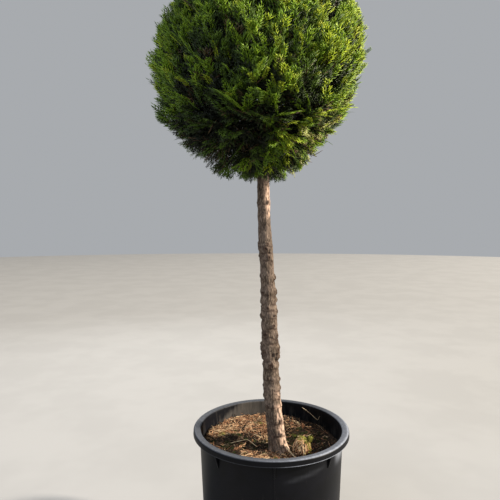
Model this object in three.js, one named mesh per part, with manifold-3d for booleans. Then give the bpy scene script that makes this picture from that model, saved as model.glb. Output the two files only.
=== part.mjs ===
// An arborvitae grown as a standard: a clipped ball of foliage on a clear stem, in a black
// nursery pot. Units are millimetres and +Z is up. The origin is the centre of the pot's flat
// underside, and the front of the plant faces -Y.

import * as THREE from "three";
import { mergeVertices } from "three/addons/utils/BufferGeometryUtils.js";
import Module from "manifold-3d";

const wasm = await Module();
wasm.setup();

// Solids that touch keep this much air between them.
const FIT_GAP = 0.3;
const GOLDEN_ANGLE = Math.PI * (3 - Math.sqrt(5));
const UP = new THREE.Vector3(0, 0, 1);

// The pot is blow moulded, round and tapered, with a rim turned out and down.
const POT_HEIGHT = 355;
const POT_RIM_RADIUS = 200;
const POT_TOP_RADIUS = 184;
const POT_BASE_RADIUS = 166;
const POT_WALL = 3.2;
const POT_SIDES = 56;
const RIM_DROP = 14;
const RIM_EDGE = 3;
const RIM_ROUNDING = 1.2;
const BASE_CHAMFER = 5;
const GUSSET_COUNT = 8;
const GUSSET_LENGTH = 46;
const GUSSET_THICKNESS = 4;
const GUSSET_SUNK = 1.5;
const DRAIN_COUNT = 8;
const DRAIN_RADIUS = 10;
const DRAIN_HEIGHT = 18;
const DRAIN_SIDES = 10;

// The potting mix stops short of the rim and lies flat where the stem and the clod stand.
const GROUND_Z = 302;
const SOIL_RINGS = 6;
const SOIL_MOUND = 14;
const SOIL_HEAP_BEARING = 2.3;
const SOIL_RIPPLE = 3;
const SOIL_RIPPLE_SPAN = 20;
const SOIL_FLAT_AT_STEM = 62;
const SOIL_FLAT_AT_CLOD = 50;
const SOIL_SLOPE_SPAN = 60;
const CLOD_CENTRE = [76, -64];
const CLOD_HALF_LENGTH = 26;
const CLOD_HALF_WIDTH = 20;
const CLOD_RISE = 37;
const CLOD_TURN = -0.35;

// The stem leans left and back, so its middle is given at even steps from the ground to its tip.
const TIP_Z = 1430;
const STEM_X = [17, 2, -3.5, -8.5, -17, -20.5, -22, -24, -25];
const STEM_Y = [-26, -22, -17, -12, -7, -3, -1, 0, 0];
const STEM_FOOT_RADIUS = 21.5;
const STEM_NECK_RADIUS = 15;
const STEM_NECK_Z = 886;
const STEM_TIP_RADIUS = 4;
const STEM_SWELL = 1.2;
const STEM_SWELL_Z = 630;
const STEM_SWELL_SPAN = 95;
const FLARE = 5.5;
const FLARE_HEIGHT = 20;
const FLARE_LOBES = 5;
const STEM_SIDES = 14;
const STEM_RINGS = 36;
const WHORL_SWELL = 1.4;
const WHORL_SPAN = 13;
// The ball is bored clear of the stem from this ring up, which lies below the lowest spray.
const BORE_FIRST_RING = 22;

// Knots are left where branches were pruned off in whorls: height, bearing of the first in
// degrees from +X, and size.
const KNOT_WHORLS = [
  [350, -60, 0.9], [381, -48, 1.0], [420, -130, 0.8], [440, 175, 0.9], [462, -15, 1.0], [483, -10, 0.9],
  [520, -95, 1.3], [543, -5, 1.6], [561, 185, 1.7], [582, -40, 1.0], [597, -125, 1.1], [620, -62, 1.1],
  [641, 172, 1.1], [654, -14, 1.1], [664, -100, 0.9], [684, -20, 1.2], [704, -8, 1.3], [740, -12, 1.1],
  [792, -72, 1.0], [814, -92, 1.3], [826, 180, 0.9], [934, -55, 0.8],
];
const KNOTS_PER_WHORL = 2;
const KNOT_RADIUS = 9;
const KNOT_HEIGHT = 3.6;
const KNOT_SUNK = 4;
const KNOT_SIDES = 5;

// The ball is clipped round; its sprays stand out of a solid core of close inner growth.
const BALL_CENTRE = new THREE.Vector3(-26, 0, 1267);
const BALL_RADIUS = 270;
const CORE_RADIUS = 220;
const CORE_BUMP = 8;
const CORE_DETAIL = 4;
const BOUGH_COUNT = 26;
const BOUGH_REACH = 0.7;
const BOUGH_RISE = 60;
const LOWEST_FORK_Z = 1045;
const TWIG_COUNT = 106;
const TWIG_SUNK = 15;
const TWIG_LIFT = 0.7;
const SIDE_WANDER = 0.25;
const TOP_WANDER = 1.1;
const STALK_RADIUS = 4;
const FROND_HUB = 0.44;
const FROND_WIDTH = 0.74;
const FROND_SWELL = 1.8;
const FROND_FOLD = 0.4;
const FROND_ROLL = 1.1;
const LONGEST_FROND = 118;
const FORK_SPREAD = 0.95;
const FORK_OUT = 0.35;
const FORKS_APART = 9;
const CLIP_UNEVEN = 11;
const COLLAR_DROP = 12;
const STRAY_REACH = 18;
const STRAY_SHARE = 0.14;
// A frond's edge about its hub, tooth and notch in turn: bearing in degrees, and reach.
const FROND_EDGE = [[35, 0.5], [62, 0.33], [90, 0.56], [118, 0.33], [145, 0.5]];
const STEM_CLEARANCE = 5;
const SEED = 20261;

const BLACK_PLASTIC = new THREE.MeshStandardMaterial({ color: 0x1b1b1e, roughness: 0.48, metalness: 0 });
const POTTING_MIX = new THREE.MeshStandardMaterial({ color: 0x5a4130, roughness: 0.95, metalness: 0 });
const BARK = new THREE.MeshStandardMaterial({ color: 0x7c675b, roughness: 0.88, metalness: 0 });
const MOSS = new THREE.MeshStandardMaterial({ color: 0x7d7d35, roughness: 0.95, metalness: 0 });
const FOLIAGE = new THREE.MeshStandardMaterial({ color: 0x3f5a1c, roughness: 0.7, metalness: 0 });

// A repeatable number from 0 to 1 for each pair of whole numbers.
function chance(index, channel) {
  let h = Math.imul(index + 1, 0x9e3779b1) ^ Math.imul(channel + 1, 0x85ebca6b) ^ SEED;
  h = Math.imul(h ^ (h >>> 16), 0x7feb352d);
  h = Math.imul(h ^ (h >>> 15), 0x846ca68b);
  return ((h ^ (h >>> 16)) >>> 0) / 4294967296;
}

function between(low, high, share) {
  return low + (high - low) * share;
}

// A closed geometry as a solid that can be joined and cut.
function solidOf(geometry, matrix = new THREE.Matrix4()) {
  const bare = new THREE.BufferGeometry();
  bare.setAttribute("position", geometry.getAttribute("position").clone());
  if (geometry.index) bare.setIndex(geometry.index.clone());
  bare.applyMatrix4(matrix);
  const merged = mergeVertices(bare, 1e-3);
  return new wasm.Manifold(
    new wasm.Mesh({
      numProp: 3,
      vertProperties: merged.attributes.position.array,
      triVerts: new Uint32Array(merged.index.array),
    }),
  );
}

function geometryOf(solid) {
  const { vertProperties, triVerts } = solid.getMesh();
  const geometry = new THREE.BufferGeometry();
  geometry.setAttribute("position", new THREE.BufferAttribute(new Float32Array(vertProperties), 3));
  geometry.setIndex(new THREE.BufferAttribute(new Uint32Array(triVerts), 1));
  const flat = geometry.toNonIndexed();
  flat.computeVertexNormals();
  return flat;
}

function join(solids) {
  return wasm.Manifold.union(solids);
}

// The main body alone, with loose scraps dropped and sealed hollows filled.
function mainBody(solid) {
  const bodies = solid.decompose();
  return bodies.reduce((best, body) => (body.volume() > best.volume() ? body : best));
}

function meshOf(name, geometry, material) {
  const mesh = new THREE.Mesh(geometry, material);
  mesh.name = name;
  return mesh;
}

// Moves each vertex of a geometry to where place says.
function reshape(geometry, place) {
  const position = geometry.getAttribute("position");
  const point = new THREE.Vector3();
  for (let i = 0; i < position.count; i++) {
    point.fromBufferAttribute(position, i);
    const moved = place(point);
    position.setXYZ(i, moved.x, moved.y, moved.z);
  }
  return geometry;
}

// A profile of radius and height pairs, turned about Z.
function turned(profile, sides) {
  const points = profile.map(([radius, height]) => new THREE.Vector2(radius, height));
  return new THREE.LatheGeometry(points, sides).rotateX(Math.PI / 2);
}

function potWallRadius(z) {
  return between(POT_BASE_RADIUS, POT_TOP_RADIUS, z / POT_HEIGHT);
}

function potShell() {
  const inner = (z) => potWallRadius(z) - POT_WALL;
  const underRim = POT_HEIGHT - RIM_EDGE;
  const skirt = POT_RIM_RADIUS - RIM_EDGE;
  const floorEdge = POT_WALL + BASE_CHAMFER;
  return solidOf(turned([
    [0, 0],
    [POT_BASE_RADIUS - BASE_CHAMFER, 0],
    [potWallRadius(BASE_CHAMFER), BASE_CHAMFER],
    [potWallRadius(underRim), underRim],
    [skirt, underRim],
    [skirt, POT_HEIGHT - RIM_DROP],
    [POT_RIM_RADIUS, POT_HEIGHT - RIM_DROP],
    [POT_RIM_RADIUS, POT_HEIGHT - 3 * RIM_ROUNDING],
    [POT_RIM_RADIUS - RIM_ROUNDING, POT_HEIGHT - RIM_ROUNDING],
    [POT_RIM_RADIUS - 3 * RIM_ROUNDING, POT_HEIGHT],
    [inner(POT_HEIGHT) + 2 * RIM_ROUNDING, POT_HEIGHT],
    [inner(POT_HEIGHT), POT_HEIGHT - 2 * RIM_ROUNDING],
    [inner(floorEdge), floorEdge],
    [inner(POT_WALL) - BASE_CHAMFER, POT_WALL],
    [0, POT_WALL],
  ], POT_SIDES));
}

// A thin web under the rim that runs down the wall to nothing.
function gusset() {
  const top = POT_HEIGHT - RIM_EDGE + 1;
  const foot = top - GUSSET_LENGTH;
  const edge = POT_RIM_RADIUS - RIM_EDGE + 1;
  const web = new THREE.Shape([
    new THREE.Vector2(potWallRadius(top) - GUSSET_SUNK, top),
    new THREE.Vector2(potWallRadius(foot) - GUSSET_SUNK, foot),
    new THREE.Vector2(potWallRadius(foot) + GUSSET_SUNK, foot),
    new THREE.Vector2(edge, POT_HEIGHT - RIM_DROP + RIM_EDGE),
    new THREE.Vector2(edge, top),
  ]);
  return new THREE.ExtrudeGeometry(web, { depth: GUSSET_THICKNESS, bevelEnabled: false })
    .translate(0, 0, -GUSSET_THICKNESS / 2)
    .rotateX(Math.PI / 2);
}

// A round hole through the wall just above the base.
function drain() {
  return new THREE.CylinderGeometry(DRAIN_RADIUS, DRAIN_RADIUS, 12 * POT_WALL, DRAIN_SIDES)
    .rotateZ(Math.PI / 2)
    .translate(POT_BASE_RADIUS, 0, DRAIN_HEIGHT);
}

function pot() {
  const aroundPot = (geometry, count, first) =>
    Array.from({ length: count }, (_, i) =>
      solidOf(geometry, new THREE.Matrix4().makeRotationZ(first + (i * 2 * Math.PI) / count)));
  const webs = join(aroundPot(gusset(), GUSSET_COUNT, -Math.PI / 2));
  const drains = join(aroundPot(drain(), DRAIN_COUNT, -Math.PI / 2 + Math.PI / DRAIN_COUNT));
  return meshOf("pot", geometryOf(potShell().add(webs).subtract(drains)), BLACK_PLASTIC);
}

// Height of the potting mix above GROUND_Z: heaped at the back and left, flat round the stem
// and under the clod.
function moundAt(x, y) {
  const fromStem = Math.hypot(x - STEM_X[0], y - STEM_Y[0]) - SOIL_FLAT_AT_STEM;
  const fromClod = Math.hypot(x - CLOD_CENTRE[0], y - CLOD_CENTRE[1]) - SOIL_FLAT_AT_CLOD;
  const rise = THREE.MathUtils.smoothstep(Math.min(fromStem, fromClod), 0, SOIL_SLOPE_SPAN);
  const heap = SOIL_MOUND * (1 + Math.cos(Math.atan2(y, x) - SOIL_HEAP_BEARING)) / 2;
  const ripple = SOIL_RIPPLE * (1 + Math.sin(x / SOIL_RIPPLE_SPAN) * Math.cos(y / SOIL_RIPPLE_SPAN));
  return rise * (heap + ripple);
}

function soil() {
  const bottom = POT_WALL + FIT_GAP;
  const floorEdge = bottom + BASE_CHAMFER;
  const inside = (z) => potWallRadius(z) - POT_WALL - 2 * FIT_GAP;
  const top = Array.from({ length: SOIL_RINGS + 1 }, (_, ring) =>
    [inside(GROUND_Z) * (1 - ring / SOIL_RINGS), GROUND_Z]);
  const foot = [[0, bottom], [inside(bottom) - BASE_CHAMFER, bottom], [inside(floorEdge), floorEdge]];
  const heaped = reshape(turned([...foot, ...top], POT_SIDES), (p) =>
    p.z > GROUND_Z - 1 ? p.setZ(GROUND_Z + moundAt(p.x, p.y)) : p);
  return meshOf("soil", geometryOf(solidOf(heaped)), POTTING_MIX);
}

// A lump of moss and roots, flat where it lies on the soil.
function mossClod() {
  const lump = reshape(new THREE.IcosahedronGeometry(1, 3), (p) => {
    const bump = 1 + 0.13 * Math.sin(5 * p.x + 2) * Math.cos(6 * p.y) + 0.1 * Math.sin(7 * p.z + p.x * 4);
    const up = Math.max(p.z * bump, -0.2);
    return p.set(p.x * CLOD_HALF_LENGTH * bump, p.y * CLOD_HALF_WIDTH * bump, up * CLOD_RISE);
  });
  lump.computeBoundingBox();
  const lift = GROUND_Z + FIT_GAP - lump.boundingBox.min.z;
  lump.rotateZ(CLOD_TURN).translate(CLOD_CENTRE[0], CLOD_CENTRE[1], lift);
  return meshOf("moss_clod", geometryOf(solidOf(lump)), MOSS);
}

const stemCourse = new THREE.CatmullRomCurve3(
  STEM_X.map((x, i) => new THREE.Vector3(
    x, STEM_Y[i], between(GROUND_Z, TIP_Z, i / (STEM_X.length - 1)))),
  false, "catmullrom", 0.5,
);

function stemMiddle(z) {
  const share = THREE.MathUtils.clamp((z - GROUND_Z) / (TIP_Z - GROUND_Z), 0, 1);
  return stemCourse.getPoint(share).setZ(z);
}

// Radius of the stem at a height and bearing, with its taper, knotty swelling and root flare.
function stemRadius(z, bearing) {
  const height = z - GROUND_Z;
  const taper = z < STEM_NECK_Z
    ? between(STEM_FOOT_RADIUS, STEM_NECK_RADIUS, height / (STEM_NECK_Z - GROUND_Z))
    : between(STEM_NECK_RADIUS, STEM_TIP_RADIUS, ((z - STEM_NECK_Z) / (TIP_Z - STEM_NECK_Z)) ** 1.6);
  const swell = STEM_SWELL * Math.exp(-(((z - STEM_SWELL_Z) / STEM_SWELL_SPAN) ** 2));
  const lobes = 1 + 0.4 * Math.cos(FLARE_LOBES * bearing + 0.6) + 0.3 * Math.cos(bearing + 0.5);
  const whorls = KNOT_WHORLS.reduce((sum, [whorlZ, , size]) =>
    sum + size * Math.exp(-(((z - whorlZ) / WHORL_SPAN) ** 2)), 0);
  const flare = FLARE * lobes * Math.exp(-height / FLARE_HEIGHT);
  return taper + swell + WHORL_SWELL * Math.min(whorls, 1.6) + flare;
}

// Rings of the stem lie closer together towards its foot.
function stemRingZ(ring) {
  return between(GROUND_Z + FIT_GAP, TIP_Z, (ring / STEM_RINGS) ** 1.25);
}

// The stem's surface from one of its rings to the tip, grown by extra all round and at the top.
function stemLoft(firstRing, extra) {
  const rings = STEM_RINGS - firstRing;
  const unit = new THREE.CylinderGeometry(1, 1, rings, STEM_SIDES, rings)
    .rotateX(Math.PI / 2)
    .translate(0, 0, rings / 2);
  return reshape(unit, (p) => {
    const ring = firstRing + Math.round(p.z);
    const z = stemRingZ(ring);
    const bearing = Math.atan2(p.y, p.x);
    const radius = (stemRadius(z, bearing) + extra) * Math.hypot(p.x, p.y);
    const middle = stemMiddle(z);
    const top = ring === STEM_RINGS ? extra : 0;
    return p.set(middle.x + radius * Math.cos(bearing), middle.y + radius * Math.sin(bearing), z + top);
  });
}

// A pruned branch collar: a short tapered boss, cut flat, that stands out of the bark.
function knot(z, bearing, size) {
  const boss = new THREE.CylinderGeometry(0.45, 1, 1, KNOT_SIDES).rotateX(Math.PI / 2).translate(0, 0, 0.5);
  const out = new THREE.Vector3(Math.cos(bearing), Math.sin(bearing), 0.2).normalize();
  const turn = new THREE.Quaternion().setFromUnitVectors(UP, out);
  const foot = stemMiddle(z).addScaledVector(out, stemRadius(z, bearing) - KNOT_SUNK);
  const scale = new THREE.Vector3(KNOT_RADIUS * size, KNOT_RADIUS * size, KNOT_HEIGHT * size + KNOT_SUNK);
  return solidOf(boss, new THREE.Matrix4().compose(foot, turn, scale));
}

function knots() {
  return KNOT_WHORLS.flatMap(([z, firstBearing, size], whorl) =>
    Array.from({ length: KNOTS_PER_WHORL }, (_, i) => {
      const turn = i * (360 / KNOTS_PER_WHORL + between(-40, 40, chance(whorl, 1)));
      const height = z + i * between(-9, 9, chance(whorl, 2));
      return knot(height, THREE.MathUtils.degToRad(firstBearing + turn), size * (1 - 0.2 * i));
    }));
}

function trunk() {
  return meshOf("trunk", geometryOf(join([solidOf(stemLoft(0, 0)), ...knots()])), BARK);
}

// Direction number i of count that cover a sphere evenly.
function spiral(i, count) {
  const height = 1 - (2 * (i + 0.5)) / count;
  const radius = Math.sqrt(1 - height * height);
  return new THREE.Vector3(radius * Math.cos(i * GOLDEN_ANGLE), radius * Math.sin(i * GOLDEN_ANGLE), height);
}

// Boughs leave the stem below where they head for, and end inside the core.
function growBoughs() {
  return Array.from({ length: BOUGH_COUNT }, (_, i) => {
    const heading = spiral(i, BOUGH_COUNT);
    const endZ = BALL_CENTRE.z + heading.z * BALL_RADIUS * BOUGH_REACH;
    const fork = stemMiddle(THREE.MathUtils.clamp(endZ - BOUGH_RISE, LOWEST_FORK_Z, TIP_Z - BOUGH_RISE));
    return { heading, fork };
  });
}

// Each twig grows on from the bough that heads most nearly its way, and bends up to the light.
function growTwigs(boughs) {
  return Array.from({ length: TWIG_COUNT }, (_, index) => {
    const heading = spiral(index, TWIG_COUNT);
    const bough = boughs.reduce((best, other) =>
      other.heading.dot(heading) > best.heading.dot(heading) ? other : best);
    const root = BALL_CENTRE.clone().addScaledVector(heading, CORE_RADIUS - TWIG_SUNK);
    const wander = between(SIDE_WANDER, TOP_WANDER, Math.max(heading.z, 0) ** 2);
    const sway = (channel) => between(-wander, wander, chance(index, channel));
    const axis = root.clone().sub(bough.fork).normalize()
      .add(heading)
      .addScaledVector(UP, TWIG_LIFT * THREE.MathUtils.smoothstep(heading.z, -0.8, 0.2))
      .add(new THREE.Vector3(sway(5), sway(6), sway(7)))
      .normalize();
    return { index, heading, root, axis };
  });
}

// How far a spray can run from root along axis before it passes the clipped surface.
function roomFor(root, axis, reach) {
  const offset = root.clone().sub(BALL_CENTRE);
  const along = offset.dot(axis);
  return -along + Math.sqrt(along * along - offset.lengthSq() + reach * reach);
}

function clearOfStem(root, axis, length) {
  return [0, 0.33, 0.66, 1].every((share) => {
    const point = root.clone().addScaledVector(axis, length * share);
    const middle = stemMiddle(Math.min(point.z, TIP_Z));
    return point.distanceTo(middle) > stemRadius(Math.max(point.z, GROUND_Z), 0) + STEM_CLEARANCE;
  });
}

// One fan of scale leaves is a flat blade with teeth, thickest at its hub and folded a little
// along its middle. With a stalk it grows from a three-sided twig, and without from a point.
function frond(length, width, fold, stalk) {
  const place = ([bearing, reach]) => {
    const angle = THREE.MathUtils.degToRad(bearing);
    const x = Math.cos(angle) * reach * width;
    return [x, (FROND_HUB + Math.sin(angle) * reach) * length, fold * Math.abs(x)];
  };
  const teeth = FROND_EDGE.map(place);
  const loop = stalk
    ? [[stalk, 0, -stalk * 0.6], ...teeth, [-stalk, 0, -stalk * 0.6]]
    : [[0, 0, 0], ...teeth];
  const hub = length * FROND_HUB;
  const points = [[0, hub, FROND_SWELL], [0, hub, -FROND_SWELL], ...loop, [0, 0, stalk]];
  const ridge = points.length - 1;
  const faces = [];
  for (let i = 0; i < loop.length; i++) {
    const here = 2 + i;
    const next = 2 + ((i + 1) % loop.length);
    faces.push(1, next, here);
    if (stalk && next === 2) faces.push(0, here, ridge, 0, ridge, next, ridge, here, next);
    else faces.push(0, here, next);
  }
  const geometry = new THREE.BufferGeometry();
  geometry.setAttribute("position", new THREE.Float32BufferAttribute(points.flat(), 3));
  geometry.setIndex(faces);
  return geometry;
}

// A matrix that lays a frond along axis, turned about it by twist from level.
function frameAlong(root, axis, twist) {
  const level = new THREE.Vector3().crossVectors(axis, UP).normalize();
  const side = level.applyAxisAngle(axis, twist);
  const normal = new THREE.Vector3().crossVectors(side, axis);
  return new THREE.Matrix4().makeBasis(side, axis, normal).setPosition(root);
}

// One twig's end: a stalked frond straight on, and one that forks off on each hand.
function sprayFan({ index, heading, root, axis }) {
  const twist = between(-FROND_ROLL, FROND_ROLL, chance(index, 10));
  const side = new THREE.Vector3().setFromMatrixColumn(frameAlong(root, axis, twist), 0);
  const strays = chance(index, 8) < STRAY_SHARE;
  const past = strays ? STRAY_REACH : CLIP_UNEVEN * chance(index, 9);
  const reach = BALL_RADIUS + past + COLLAR_DROP * THREE.MathUtils.smoothstep(-heading.z, 0.7, 0.95);
  return [-1, 0, 1].flatMap((hand) => {
    const way = axis.clone()
      .addScaledVector(side, hand * FORK_SPREAD * between(0.8, 1.15, chance(index, 15 + hand)))
      .addScaledVector(heading, hand ? FORK_OUT : 0)
      .normalize();
    const foot = root.clone().addScaledVector(side, hand * FORKS_APART);
    const length = Math.min(roomFor(foot, way, reach), LONGEST_FROND);
    if (!clearOfStem(foot, way, length)) return [];
    const roll = twist + hand * between(0.3, 1, chance(index, 18 + hand)) * FROND_ROLL;
    const fold = between(-FROND_FOLD, FROND_FOLD, chance(index, 22 + hand));
    const blade = frond(length, length * FROND_WIDTH, fold, hand ? 0 : STALK_RADIUS);
    return [solidOf(blade, frameAlong(foot, way, roll))];
  });
}

// The core is lumpy, as clipped growth is.
function ballCore() {
  const lumpy = reshape(new THREE.IcosahedronGeometry(1, CORE_DETAIL), (p) => {
    const broad = Math.sin(11 * p.x + 1) * Math.sin(9.3 * p.y + 2);
    const close = Math.sin(10.7 * p.z) * Math.cos(8 * p.x);
    return p.multiplyScalar(CORE_RADIUS + CORE_BUMP * (broad + close)).add(BALL_CENTRE);
  });
  return solidOf(lumpy);
}

function clippedBall() {
  const twigs = growTwigs(growBoughs());
  const whole = join([ballCore(), ...twigs.flatMap(sprayFan)]);
  const bore = solidOf(stemLoft(BORE_FIRST_RING, FIT_GAP / Math.cos(Math.PI / STEM_SIDES)));
  return meshOf("clipped_ball", geometryOf(mainBody(whole.subtract(bore))), FOLIAGE);
}

const topiary = new THREE.Group();
topiary.add(pot(), soil(), mossClod(), trunk(), clippedBall());

export default topiary;
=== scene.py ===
"""Looks of a clipped arborvitae standard in its nursery pot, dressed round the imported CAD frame.

The modelling works in millimetres, as the plant was measured, and MM turns them into Blender's
metres. The front of the plant faces -Y and +Z is up.
"""

import logging
import math
from collections.abc import Callable, Sequence
from dataclasses import dataclass, field
from enum import Enum

import bmesh
import bpy
import numpy as np
from mathutils import Matrix, Vector, noise


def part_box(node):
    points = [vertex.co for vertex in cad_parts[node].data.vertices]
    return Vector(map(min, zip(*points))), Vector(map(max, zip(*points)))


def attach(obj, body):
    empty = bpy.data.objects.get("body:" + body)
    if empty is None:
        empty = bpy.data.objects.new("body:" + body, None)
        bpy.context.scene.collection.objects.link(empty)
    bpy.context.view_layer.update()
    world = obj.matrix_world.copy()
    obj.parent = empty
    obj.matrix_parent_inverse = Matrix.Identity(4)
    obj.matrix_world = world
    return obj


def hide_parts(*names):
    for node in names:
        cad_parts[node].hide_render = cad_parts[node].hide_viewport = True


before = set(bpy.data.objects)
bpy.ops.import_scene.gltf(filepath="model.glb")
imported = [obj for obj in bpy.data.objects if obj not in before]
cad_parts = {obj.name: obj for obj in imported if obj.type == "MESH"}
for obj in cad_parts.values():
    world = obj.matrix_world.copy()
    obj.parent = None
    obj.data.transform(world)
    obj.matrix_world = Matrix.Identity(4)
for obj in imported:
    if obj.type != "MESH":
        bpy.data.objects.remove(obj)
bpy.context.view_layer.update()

log = logging.getLogger("topiary")

Array = np.ndarray
Node = bpy.types.Node
Piece = bpy.types.Object
Socket = bpy.types.NodeSocket
Tree = bpy.types.NodeTree
Triple = tuple[float, float, float]
# Two limits, or the values at a piece's start and end.
Span = tuple[float, float]
# One value, or one for each of many points.
Field = Array | float

MM = 0.001
BODY = "root"
GOLDEN_ANGLE = math.pi * (3 - math.sqrt(5))
UP = Vector((0, 0, 1))
SEED = 20261

# The sockets of Blender's Mix node where it mixes colours.
MIX_FACTOR, MIX_A, MIX_B, MIX_RESULT = 0, 6, 7, 2


def linear(hex_colour: str) -> tuple[float, float, float, float]:
    """Turns an sRGB hex colour into the linear values that shaders take.

    Args:
        hex_colour: A colour such as "#8aa51e".

    Returns:
        Linear red, green and blue, and an alpha of 1.
    """
    parts = [int(hex_colour[i:i + 2], 16) / 255 for i in (1, 3, 5)]
    red, green, blue = (p / 12.92 if p <= 0.04045 else ((p + 0.055) / 1.055) ** 2.4 for p in parts)
    return red, green, blue, 1.0


def between(low: float, high: float, share: float) -> float:
    """Goes a share of the way from low to high."""
    return low + (high - low) * share


def smoothstep(value: Field, low: float, high: float) -> Field:
    """Rises smoothly from 0 at low to 1 at high, also where high is the smaller."""
    share = np.clip((np.asarray(value, float) - low) / (high - low), 0, 1)
    return share * share * (3 - 2 * share)


@dataclass(frozen=True)
class Stretch:
    """A soft-edged stretch of bearings: its middle, and how far off that it starts and ends to fade."""

    middle: float
    full: float
    gone: float

    def share(self, bearing: Array) -> Array:
        """Gives 1 well inside the stretch and 0 well outside it."""
        return smoothstep(np.abs(bearing - self.middle), self.gone, self.full)


def chance(index: int, channel: int) -> float:
    """Gives a repeatable number from 0 to 1 for each pair of whole numbers.

    Args:
        index: Which twig, bough or whorl asks.
        channel: Which of its choices the number is for.

    Returns:
        A number from 0 up to 1.
    """
    word = 0xFFFFFFFF
    h = ((index + 1) * 0x9E3779B1 ^ (channel + 1) * 0x85EBCA6B ^ SEED) & word
    h = (h ^ h >> 16) * 0x7FEB352D & word
    h = (h ^ h >> 15) * 0x846CA68B & word
    return (h ^ h >> 16) / 4294967296


def rows(vectors: Sequence[Vector]) -> Array:
    """Stacks vectors as the rows of an array."""
    return np.array([tuple(v) for v in vectors], float).reshape(-1, 3)


def unit(vectors: Array) -> Array:
    """Scales the last axis of an array to unit length."""
    return vectors / np.maximum(np.linalg.norm(vectors, axis=-1, keepdims=True), 1e-9)


def bearing_of(points: Array) -> Array:
    """Gives each point's bearing about the upright axis, from +X towards +Y."""
    return np.arctan2(points[:, 1], points[:, 0])


def drawn_in(spots: Array, limit: float) -> Array:
    """Moves the places that lie further than a limit from the upright axis in to it."""
    return spots * np.minimum(1, limit / np.maximum(np.hypot(*spots.T), 1))[:, None]


def repeated(faces: Sequence[Sequence[int]] | Array, stride: int, count: int) -> Array:
    """Repeats one shape's triangles for a row of alike shapes.

    Args:
        faces: The first shape's triangles.
        stride: How many points each shape has.
        count: How many shapes there are.

    Returns:
        The triangles of all of them.
    """
    every = np.asarray(faces)[None] + (stride * np.arange(count))[:, None, None]
    return every.reshape(-1, 3)


def cloud(points: Array, cell: Sequence[float], offset: float = 0.0) -> Array:
    """Reads smooth noise at many points.

    Args:
        points: Places in millimetres, one a row.
        cell: The size of the noise's features in millimetres along X, Y and Z.
        offset: Moves the noise, so that two readings differ.

    Returns:
        One value from about -1 to 1 for each point.
    """
    scaled = points / np.asarray(cell, float) + offset
    return np.array([noise.noise(Vector(p)) for p in scaled])


# Materials


def add_node(
    tree: Tree, kind: str, inputs: dict[int | str, object], output: int | str = 0, **settings: object,
) -> Socket:
    """Adds a node, sets its properties, and fills its sockets with values or links.

    Args:
        tree: The material's node tree.
        kind: The node's type name, without the "ShaderNode" that all begin with.
        inputs: What goes into each socket, by name or number; an output socket is linked.
        output: Which of its outputs is wanted.
        **settings: Properties of the node itself.

    Returns:
        That output.
    """
    node = tree.nodes.new(f"ShaderNode{kind}")
    for key, value in settings.items():
        setattr(node, key, value)
    for key, value in inputs.items():
        if isinstance(value, Socket):
            tree.links.new(value, node.inputs[key])
        else:
            node.inputs[key].default_value = value
    return node.outputs[output]


def per_metre(sizes: float | Sequence[float]) -> float | list[float]:
    """Turns the size of a texture's features in millimetres into its scale."""
    return [1 / (size * MM) for size in sizes] if isinstance(sizes, Sequence) else 1 / (sizes * MM)


@dataclass(frozen=True)
class Finish:
    """A surface in two close colours that noise mixes, with a fine relief.

    Sizes are real ones in millimetres; an IOR of 1.5 suits plastic, cellulose and leaf wax alike.
    """

    name: str
    base: str
    patch: str
    patch_mm: float = 20.0
    grain_mm: float = 2.0
    relief_mm: float = 0.3
    roughness: float = 0.7
    gloss: float = 0.5

    def material(self) -> bpy.types.Material:
        """Makes the finish as a node material, or gives the one made before."""
        made = bpy.data.materials.get(self.name)
        if made:
            return made
        made = bpy.data.materials.new(self.name)
        made.use_nodes = True
        tree = made.node_tree
        shader = tree.nodes["Principled BSDF"]
        shader.inputs["Roughness"].default_value = self.roughness
        shader.inputs["Specular IOR Level"].default_value = self.gloss
        place = add_node(tree, "TexCoord", {}, "Object")
        tree.links.new(self.colour(tree, place), shader.inputs["Base Color"])
        bump = add_node(tree, "Bump", {
            "Height": self.grain(tree, place), "Strength": 0.6, "Distance": self.relief_mm * MM,
        })
        tree.links.new(bump, shader.inputs["Normal"])
        self.extras(tree, shader, place)
        return made

    def colour(self, tree: Tree, place: Socket) -> Socket:
        """Mixes the base colour and the patches.

        Args:
            tree: The material's node tree.
            place: The socket that gives Object coordinates.

        Returns:
            The socket that gives the colour.
        """
        patches = add_node(tree, "TexNoise", {
            "Vector": place, "Scale": per_metre(self.patch_mm), "Detail": 3.0, "Roughness": 0.6,
        })
        share = add_node(tree, "MapRange", {
            "Value": patches, "From Min": 0.38, "From Max": 0.62,
        }, interpolation_type="SMOOTHSTEP")
        return add_node(tree, "Mix", {
            MIX_FACTOR: share, MIX_A: linear(self.base), MIX_B: linear(self.patch),
        }, MIX_RESULT, data_type="RGBA")

    def grain(self, tree: Tree, place: Socket) -> Socket:
        """Gives the height of the fine relief."""
        return add_node(tree, "TexNoise", {
            "Vector": place, "Scale": per_metre(self.grain_mm), "Detail": 4.0,
        })

    def extras(self, tree: Tree, shader: Node, place: Socket) -> None:
        """Adds what only some finishes have; a plain one has nothing more."""


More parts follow.
